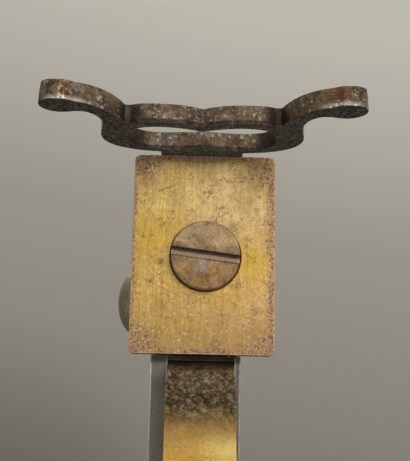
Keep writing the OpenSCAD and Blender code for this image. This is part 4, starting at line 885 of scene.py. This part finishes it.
TANK = (
    ("base_plate", "base_brass", 0.10),
    ("tank_box", "tank_steel", 0.14),
    ("filler_screw", "filler_brass", 0.08),
    ("filler_washer", "washer_leather", 0.05),
    ("wick_tube", "bright_brass", 0.06),
)
WHEELWORK = (
    ("flint_tube", "bright_brass", 0.05),
    ("flint", "flint_metal", 0.08),
    ("flint_screw", "bright_brass", 0.06),
    ("axle_screw", "dark_steel", 0.10),
    ("spark_wheel", "wheel_steel", 0.03),
    ("wheel_pinion", "gear_brass", 0.05),
    ("wheel_bush", "gear_brass", 0.05),
    ("idler_gear", "gear_brass", 0.05),
    ("idler_pin", "pin_steel", 0.05),
)
FOOT = (("front_foot", "foot_bronze", 0.26), ("foot_screws", "screw_brass", 0.07))
LOCK = (
    ("lock_frame", "lock_steel", 0.24),
    ("lock_cover", "lock_steel", 0.12),
    ("cover_screws", "screw_steel", 0.06),
    ("breech_screws", "screw_steel", 0.04),
    ("main_spring", "spring_steel", 0.04),
    ("spring_screw", "screw_steel", 0.05),
    ("trigger_plate", "lock_steel", 0.08),
)
COCK = (
    ("cock", "cock_steel", 0.18),
    ("cock_pin", "pin_steel", 0.08),
    ("top_jaw", "cock_steel", 0.15),
    ("jaw_screw", "screw_steel", 0.08),
    ("snuffer_stem", "stem_steel", 0.10),
    ("snuffer_pin", "pin_steel", 0.05),
    ("snuffer_cap", "cap_brass", 0.10),
)
TRIGGER = (("trigger", "trigger_steel", 0.16), ("trigger_pin", "pin_steel", 0.08))
GUARD = (("trigger_guard", "guard_brass", 0.14), ("guard_pin", "pin_steel", 0.06))
BUTT = (
    ("grip", "walnut", 0.06),
    ("tang_screw", "screw_steel", 0.07),
    ("butt_cap", "cap_brass", 0.10),
    ("butt_screw", "screw_brass", 0.08),
)

# The wick's sizes in millimetres, and its yarns' and tuft's widths as shares of its radius
WICK_BEND = 2.0
WICK_UNDER_TUBE = 0.4
WICK_STEP = 0.16
YARN_LAY = 2.6
YARN_SHARE = 0.50
YARN_FILL = 0.97
TUFT_SHARE = 0.85
TUFT_FIBRES = 46
FIBRE_RADII = (0.05, 0.04, 0.02)
FIBRE_RISE = 0.33
FIBRE_ROOT = 0.35
FIBRE_LEAN = 0.12
FIBRE_SIDES = 5
TUBE_SIDES = 10


def wick_route():
    """Middle line of the wick, down its tube, round the flint tube and into the wadding."""
    low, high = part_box("wick")
    x = (low.x + high.x) / 2
    radius = (high.x - low.x) / 2
    y = low.y + radius
    bend = WICK_BEND * MM
    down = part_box("wick_tube")[0].z - WICK_UNDER_TUBE * MM
    in_tube, steps = 6, 8
    points = [Vector((x, y, high.z - (high.z - down) * k / in_tube)) for k in range(in_tube)]
    for k in range(steps + 1):
        a = math.pi / 2 * k / steps
        points.append(Vector((x, y + bend - bend * math.cos(a), down - bend * math.sin(a))))
    for k in range(1, steps + 1):
        a = math.pi / 2 * (1 - k / steps)
        lower = down - 2 * bend + bend * math.sin(a)
        points.append(Vector((x, y + bend + bend * math.cos(a), lower)))
    start = points[-1].copy()
    end = Vector((x, high.y - radius, low.z))
    points += [start.lerp(end, k / steps) for k in range(1, steps + 1)]
    return points, radius


def resampled(points, step):
    """Points at even steps along a line of points, and its last one."""
    out, carry = [points[0]], 0.0
    for a, b in zip(points, points[1:]):
        long = (b - a).length
        at = step - carry
        while at <= long:
            out.append(a.lerp(b, at / long))
            at += step
        carry = (carry + long) % step
    return out + [points[-1]]


def wick_piece():
    """Three twisted yarns, with a frayed and charred top."""
    look = bpy.context.scene.lighter_looks
    route, radius = wick_route()
    route = resampled(route, WICK_STEP * MM)
    draw = random.Random(4)
    strand = radius * YARN_SHARE
    across = Vector((1, 0, 0))
    meshes = []
    for k in range(look.wick_yarns):
        points = []
        for i, point in enumerate(route):
            turn = 2 * math.pi * (k / look.wick_yarns + i * WICK_STEP / YARN_LAY)
            over = heading(route, i).cross(across)
            points.append(point + (radius - strand) * around(across, over, turn))
        meshes.append(tube_mesh("yarn", points, strand * YARN_FILL, TUBE_SIDES))
    rise = Vector((0, 0, FIBRE_RISE * MM))
    radii = [size * MM for size in FIBRE_RADII]
    for _ in range(TUFT_FIBRES):
        a, r = draw.uniform(0, 2 * math.pi), radius * TUFT_SHARE * math.sqrt(draw.random())
        root = route[0] + Vector((r * math.cos(a), r * math.sin(a), -FIBRE_ROOT * MM))
        lean = Vector((draw.uniform(-1, 1), draw.uniform(-1, 1), 0)) * FIBRE_LEAN * MM
        points = [root, root + rise / 2 + lean * 0.2, root + rise + lean]
        meshes.append(tube_mesh("fibre", points, radii, FIBRE_SIDES))
    placed(linked("wick_yarns", joined(meshes, "wick_yarns")), "wick", "wick_cotton")


FELT_VOXEL = 0.55
FELT_DENT = 0.10
FELT_DENTS_PER_MM = 0.9


def wadding_piece():
    """The wadding as a felted block with an uneven surface."""
    bm = bmesh_of(frame["nodes"]["wadding"].data)
    bmesh.ops.remove_doubles(bm, verts=bm.verts, dist=SAME_POINT)
    piece = linked("wadding_felt", mesh_of(bm, "wadding_felt"))
    rounder = piece.modifiers.new("felted", "REMESH")
    rounder.mode = "VOXEL"
    rounder.voxel_size = FELT_VOXEL * MM
    remeshed = piece.evaluated_get(bpy.context.evaluated_depsgraph_get())
    felted = bpy.data.meshes.new_from_object(remeshed)
    piece.modifiers.clear()
    bm = bmesh_of(felted)
    every_axis = {"use_axis_x": True, "use_axis_y": True, "use_axis_z": True}
    bmesh.ops.smooth_vert(bm, verts=bm.verts, factor=0.5, **every_axis)
    for v in bm.verts:
        uneven = noise.noise(v.co / MM * FELT_DENTS_PER_MM)
        v.co -= v.normal * MM * (FELT_DENT + FELT_DENT * uneven)
    bm.to_mesh(felted)
    bm.free()
    felted.shade_smooth()
    piece.data = felted
    placed(piece, "wadding", "felt")


SPRING_SLOPE = math.radians(20)
SPRING_TURNS = 5.5
SPRING_STEPS = 24
SPRING_WIRE = 0.175


def flint_spring_piece():
    """The spring behind the flint as one round wire in open turns."""
    solid = frame["nodes"]["flint_spring"].data.vertices
    low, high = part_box("flint_spring")
    middle = (low + high) / 2
    ahead = Vector((math.cos(SPRING_SLOPE), 0, -math.sin(SPRING_SLOPE)))
    across = Vector((-math.sin(SPRING_SLOPE), 0, -math.cos(SPRING_SLOPE)))
    side = Vector((0, 1, 0))
    wire = SPRING_WIRE * MM
    reach = [(v.co - middle).dot(ahead) for v in solid]
    start, end = min(reach), max(reach)
    outward = [(v.co - middle - ahead * (v.co - middle).dot(ahead)).length for v in solid]
    radius = max(outward) - wire
    count = int(SPRING_TURNS * SPRING_STEPS)
    points = []
    for i in range(count + 1):
        a = 2 * math.pi * i / SPRING_STEPS
        along = start + wire + (end - start - 2 * wire) * i / count
        points.append(middle + ahead * along + radius * around(across, side, a))
    mesh = tube_mesh("flint_spring_wire", points, wire, TUBE_SIDES)
    placed(linked("flint_spring_wire", mesh), "flint_spring", "spring_steel")


# Stage, in metres

CAMERA_AT = Vector((36.79, -0.51, -92.15)) * MM
CAMERA_AHEAD = Vector((0.20566, 0.0101, 0.97857))
CAMERA_UP = Vector((0.97842, -0.02263, -0.20539))
CAMERA_LENS = 64.56
CAMERA_SENSOR = 36
FLOOR_HALF = 4.0
FLOOR_DROP = 0.00005
FAR_FLOOR = 0.52
# Direction about which the surroundings hold a painted shadow
PAINTED_SHADOW_CORNER = (-0.10, -0.24)

# Greys behind the lighter, from the butt's end to the muzzle's
BACKDROP = (
    (0.08, (0.100, 0.088, 0.070)),
    (0.30, (0.240, 0.220, 0.184)),
    (0.476, (0.325, 0.300, 0.258)),
    (0.668, (0.515, 0.490, 0.425)),
)

MIDDLE = (0.03, 0.0, 0.025)

# Each lamp's name, place, what it shines on, width, share of the key lamp's power, and colour
LAMPS = (
    ("key_below", (0.20, 0.20, -0.30), MIDDLE, 0.36, 0.58, (1.0, 0.975, 0.93)),
    ("fill_below", (-0.12, -0.22, -0.28), MIDDLE, 0.50, 0.23, (0.95, 0.97, 1.0)),
    ("glint_strap", (0.417, 0.035, -0.24), (0.031, 0.004, 0.012), 0.06, 0.080, (1, 1, 1)),
    ("glint_foot", (-0.117, -0.045, -0.40), (0.072, 0.0, 0.0), 0.06, 0.017, (1, 1, 1)),
    ("key_above", (0.50, -0.12, 0.42), MIDDLE, 0.30, 0.8, (1.0, 0.98, 0.95)),
    ("fill_above", (0.05, 0.55, 0.42), MIDDLE, 0.40, 0.4, (0.96, 0.98, 1.0)),
)


def stage_camera():
    """The photograph's view, from below and a little behind."""
    data = bpy.data.cameras.new("view_from_below")
    data.lens = CAMERA_LENS
    data.sensor_width = CAMERA_SENSOR
    data.clip_start, data.clip_end = 0.005, 20
    camera = linked("view_from_below", data)
    ahead = CAMERA_AHEAD.normalized()
    up = (CAMERA_UP - ahead * CAMERA_UP.dot(ahead)).normalized()
    turn = Matrix((ahead.cross(up), up, -ahead)).transposed()
    camera.matrix_world = Matrix.Translation(CAMERA_AT) @ turn.to_4x4()
    bpy.context.scene.camera = camera


def stage_floor():
    """A pale floor that is seen from above only, so that the view from below looks past it."""
    mesh = bpy.data.meshes.new("floor")
    h = FLOOR_HALF
    corners = [(x, y, -FLOOR_DROP) for x, y in ((-h, -h), (h, -h), (h, h), (-h, h))]
    mesh.from_pydata(corners, [], [(0, 1, 2, 3)])
    f = Finish("floor")
    mesh.materials.append(f.made(tuple(bpy.context.scene.lighter_stage.floor), 0.8))
    clear = f.add("ShaderNodeBsdfTransparent").outputs[0]
    below = f.add("ShaderNodeNewGeometry").outputs["Backfacing"]
    share = f.times(f.seen(), f.minus(1.0, below))
    f.put(f.out.inputs[0], f.either(share, clear, f.shader.outputs[0]))
    linked("floor", mesh)


def stage_world():
    """Grey surroundings: paler towards the muzzle end, with a painted shadow darkest low on the
    butt's right.
    """
    stage = bpy.context.scene.lighter_stage
    world = bpy.data.worlds.new("studio")
    bpy.context.scene.world = world
    n = Nodes(world)
    out = n.add("ShaderNodeOutputWorld")
    x, y, z = n.axes(n.add("ShaderNodeTexCoord").outputs["Generated"])
    # Painted shadow: the surroundings darken about one corner
    corner = n.fade(n.squared((x, y), PAINTED_SHADOW_CORNER), 0.0, 0.050, -0.072, 0.0)
    along = n.total(x, n.times(y, 0.16), corner)
    backdrop = n.background(n.ramp(n.total(n.times(along, 0.8), 0.3), *BACKDROP))
    far_floor = n.background(tuple(c * FAR_FLOOR for c in stage.floor))
    above = n.add("ShaderNodeMapRange", {0: z, 1: -0.02, 2: 0.25}).outputs[0]
    glow = n.fade(z, 0.1, 0.9, stage.sky, stage.sky * 2.2)
    light = n.background((0.97, 0.985, 1.0), glow)
    n.put(out.inputs[0], n.either(n.seen(), light, n.either(above, far_floor, backdrop)))


def stage_lamp(name, at, towards, width, watts, colour):
    data = bpy.data.lights.new(name, "AREA")
    data.shape = "DISK"
    data.size = width
    data.energy = watts
    data.color = colour
    lamp = linked(name, data)
    lamp.location = at
    lamp.rotation_mode = "QUATERNION"
    lamp.rotation_quaternion = (Vector(towards) - Vector(at)).to_track_quat("-Z", "Y")
    lamp.visible_camera = False


# Settings and operators


class LighterLooks(bpy.types.PropertyGroup):
    brass: FloatVectorProperty(
        name="Brass", description="Colour of the base plate's clean brass",
        subtype="COLOR", size=3, min=0, max=1, default=(0.82, 0.565, 0.175))
    tarnish: FloatVectorProperty(
        name="Tarnish", description="Colour of the brown tarnish on the base plate",
        subtype="COLOR", size=3, min=0, max=1, default=(0.33, 0.190, 0.125))
    walnut_dark: FloatVectorProperty(
        name="Walnut, dark", description="Colour of the walnut's dark figure",
        subtype="COLOR", size=3, min=0, max=1, default=(0.045, 0.020, 0.011))
    walnut_light: FloatVectorProperty(
        name="Walnut, light", description="Colour of the walnut between the figure",
        subtype="COLOR", size=3, min=0, max=1, default=(0.20, 0.095, 0.045))
    ease: FloatProperty(
        name="Edge wear", description="Factor on how far the sharp edges are rounded over",
        default=1.0, min=0.3, max=1.5, subtype="FACTOR")
    wick_yarns: IntProperty(
        name="Wick yarns", description="Number of yarns twisted into the wick",
        default=3, min=2, max=5)


class LighterStage(bpy.types.PropertyGroup):
    floor: FloatVectorProperty(
        name="Floor", description="Colour of the floor",
        subtype="COLOR", size=3, min=0, max=1, default=(0.62, 0.61, 0.58))
    sky: FloatProperty(
        name="Surroundings", description="Strength of the light that comes from all round",
        default=0.30, min=0.0, max=2.0)
    key: FloatProperty(
        name="Key lamp", description="Power of the main lamp", default=2.4, min=0.0, unit="POWER")


class LighterStep:
    """What every operator here has in common."""

    bl_options = {"REGISTER", "UNDO"}


class LIGHTER_OT_tank(LighterStep, bpy.types.Operator):
    """Make the fuel tank, its base plate and its filler screw"""

    bl_idname = "lighter.tank"
    bl_label = "Tank"

    def execute(self, context):
        dress(TANK)
        return {"FINISHED"}


class LIGHTER_OT_fuel(LighterStep, bpy.types.Operator):
    """Make the twisted wick and the wadding"""

    bl_idname = "lighter.fuel"
    bl_label = "Wick and wadding"

    def execute(self, context):
        wick_piece()
        wadding_piece()
        return {"FINISHED"}


class LIGHTER_OT_wheelwork(LighterStep, bpy.types.Operator):
    """Make the flint, the spark wheel and the gears"""

    bl_idname = "lighter.wheelwork"
    bl_label = "Flint and wheels"

    def execute(self, context):
        dress(WHEELWORK)
        flint_spring_piece()
        return {"FINISHED"}


class LIGHTER_OT_foot(LighterStep, bpy.types.Operator):
    """Make the scrolled front foot and its screws"""

    bl_idname = "lighter.foot"
    bl_label = "Foot"

    def execute(self, context):
        dress(FOOT)
        return {"FINISHED"}


class LIGHTER_OT_lock(LighterStep, bpy.types.Operator):
    """Make the lock's frame, cover, spring and screws"""

    bl_idname = "lighter.lock"
    bl_label = "Lock"

    def execute(self, context):
        dress(LOCK)
        return {"FINISHED"}


class LIGHTER_OT_cock(LighterStep, bpy.types.Operator):
    """Make the cock, its jaws and the snuffer"""

    bl_idname = "lighter.cock"
    bl_label = "Cock and snuffer"

    def execute(self, context):
        dress(COCK)
        return {"FINISHED"}


class LIGHTER_OT_trigger(LighterStep, bpy.types.Operator):
    """Make the trigger and its guard"""

    bl_idname = "lighter.trigger"
    bl_label = "Trigger and guard"

    def execute(self, context):
        dress(TRIGGER)
        dress(GUARD)
        return {"FINISHED"}


class LIGHTER_OT_butt(LighterStep, bpy.types.Operator):
    """Make the walnut grip and the butt cap"""

    bl_idname = "lighter.butt"
    bl_label = "Butt"

    def execute(self, context):
        dress(BUTT)
        return {"FINISHED"}


class LIGHTER_OT_stage(LighterStep, bpy.types.Operator):
    """Set the camera, the floor, the surroundings and the lamps"""

    bl_idname = "lighter.stage"
    bl_label = "Stage"

    def execute(self, context):
        context.scene.view_settings.view_transform = "Standard"
        stage_camera()
        stage_floor()
        stage_world()
        for name, at, towards, width, share, colour in LAMPS:
            stage_lamp(name, at, towards, width, context.scene.lighter_stage.key * share, colour)
        return {"FINISHED"}


STEPS = (
    LIGHTER_OT_stage, LIGHTER_OT_tank, LIGHTER_OT_fuel, LIGHTER_OT_wheelwork, LIGHTER_OT_foot,
    LIGHTER_OT_lock, LIGHTER_OT_cock, LIGHTER_OT_trigger, LIGHTER_OT_butt,
)


class LIGHTER_PT_panel(bpy.types.Panel):
    """Steps and settings of the lighter"""

    bl_idname = "LIGHTER_PT_panel"
    bl_label = "Table Lighter"
    bl_space_type = "VIEW_3D"
    bl_region_type = "UI"
    bl_category = "Lighter"

    def draw(self, context):
        for group in (context.scene.lighter_looks, context.scene.lighter_stage):
            box = self.layout.box()
            for name in type(group).__annotations__:
                box.prop(group, name)
        for step in STEPS:
            self.layout.operator(step.bl_idname)


CLASSES = (LighterLooks, LighterStage, *STEPS, LIGHTER_PT_panel)


def register():
    for item in CLASSES:
        bpy.utils.register_class(item)
    bpy.types.Scene.lighter_looks = PointerProperty(type=LighterLooks)
    bpy.types.Scene.lighter_stage = PointerProperty(type=LighterStage)


def unregister():
    del bpy.types.Scene.lighter_stage
    del bpy.types.Scene.lighter_looks
    for item in reversed(CLASSES):
        bpy.utils.unregister_class(item)


def main():
    register()
    for step in STEPS:
        group, name = step.bl_idname.split(".")
        getattr(getattr(bpy.ops, group), name)()


if __name__ == "__main__":
    main()
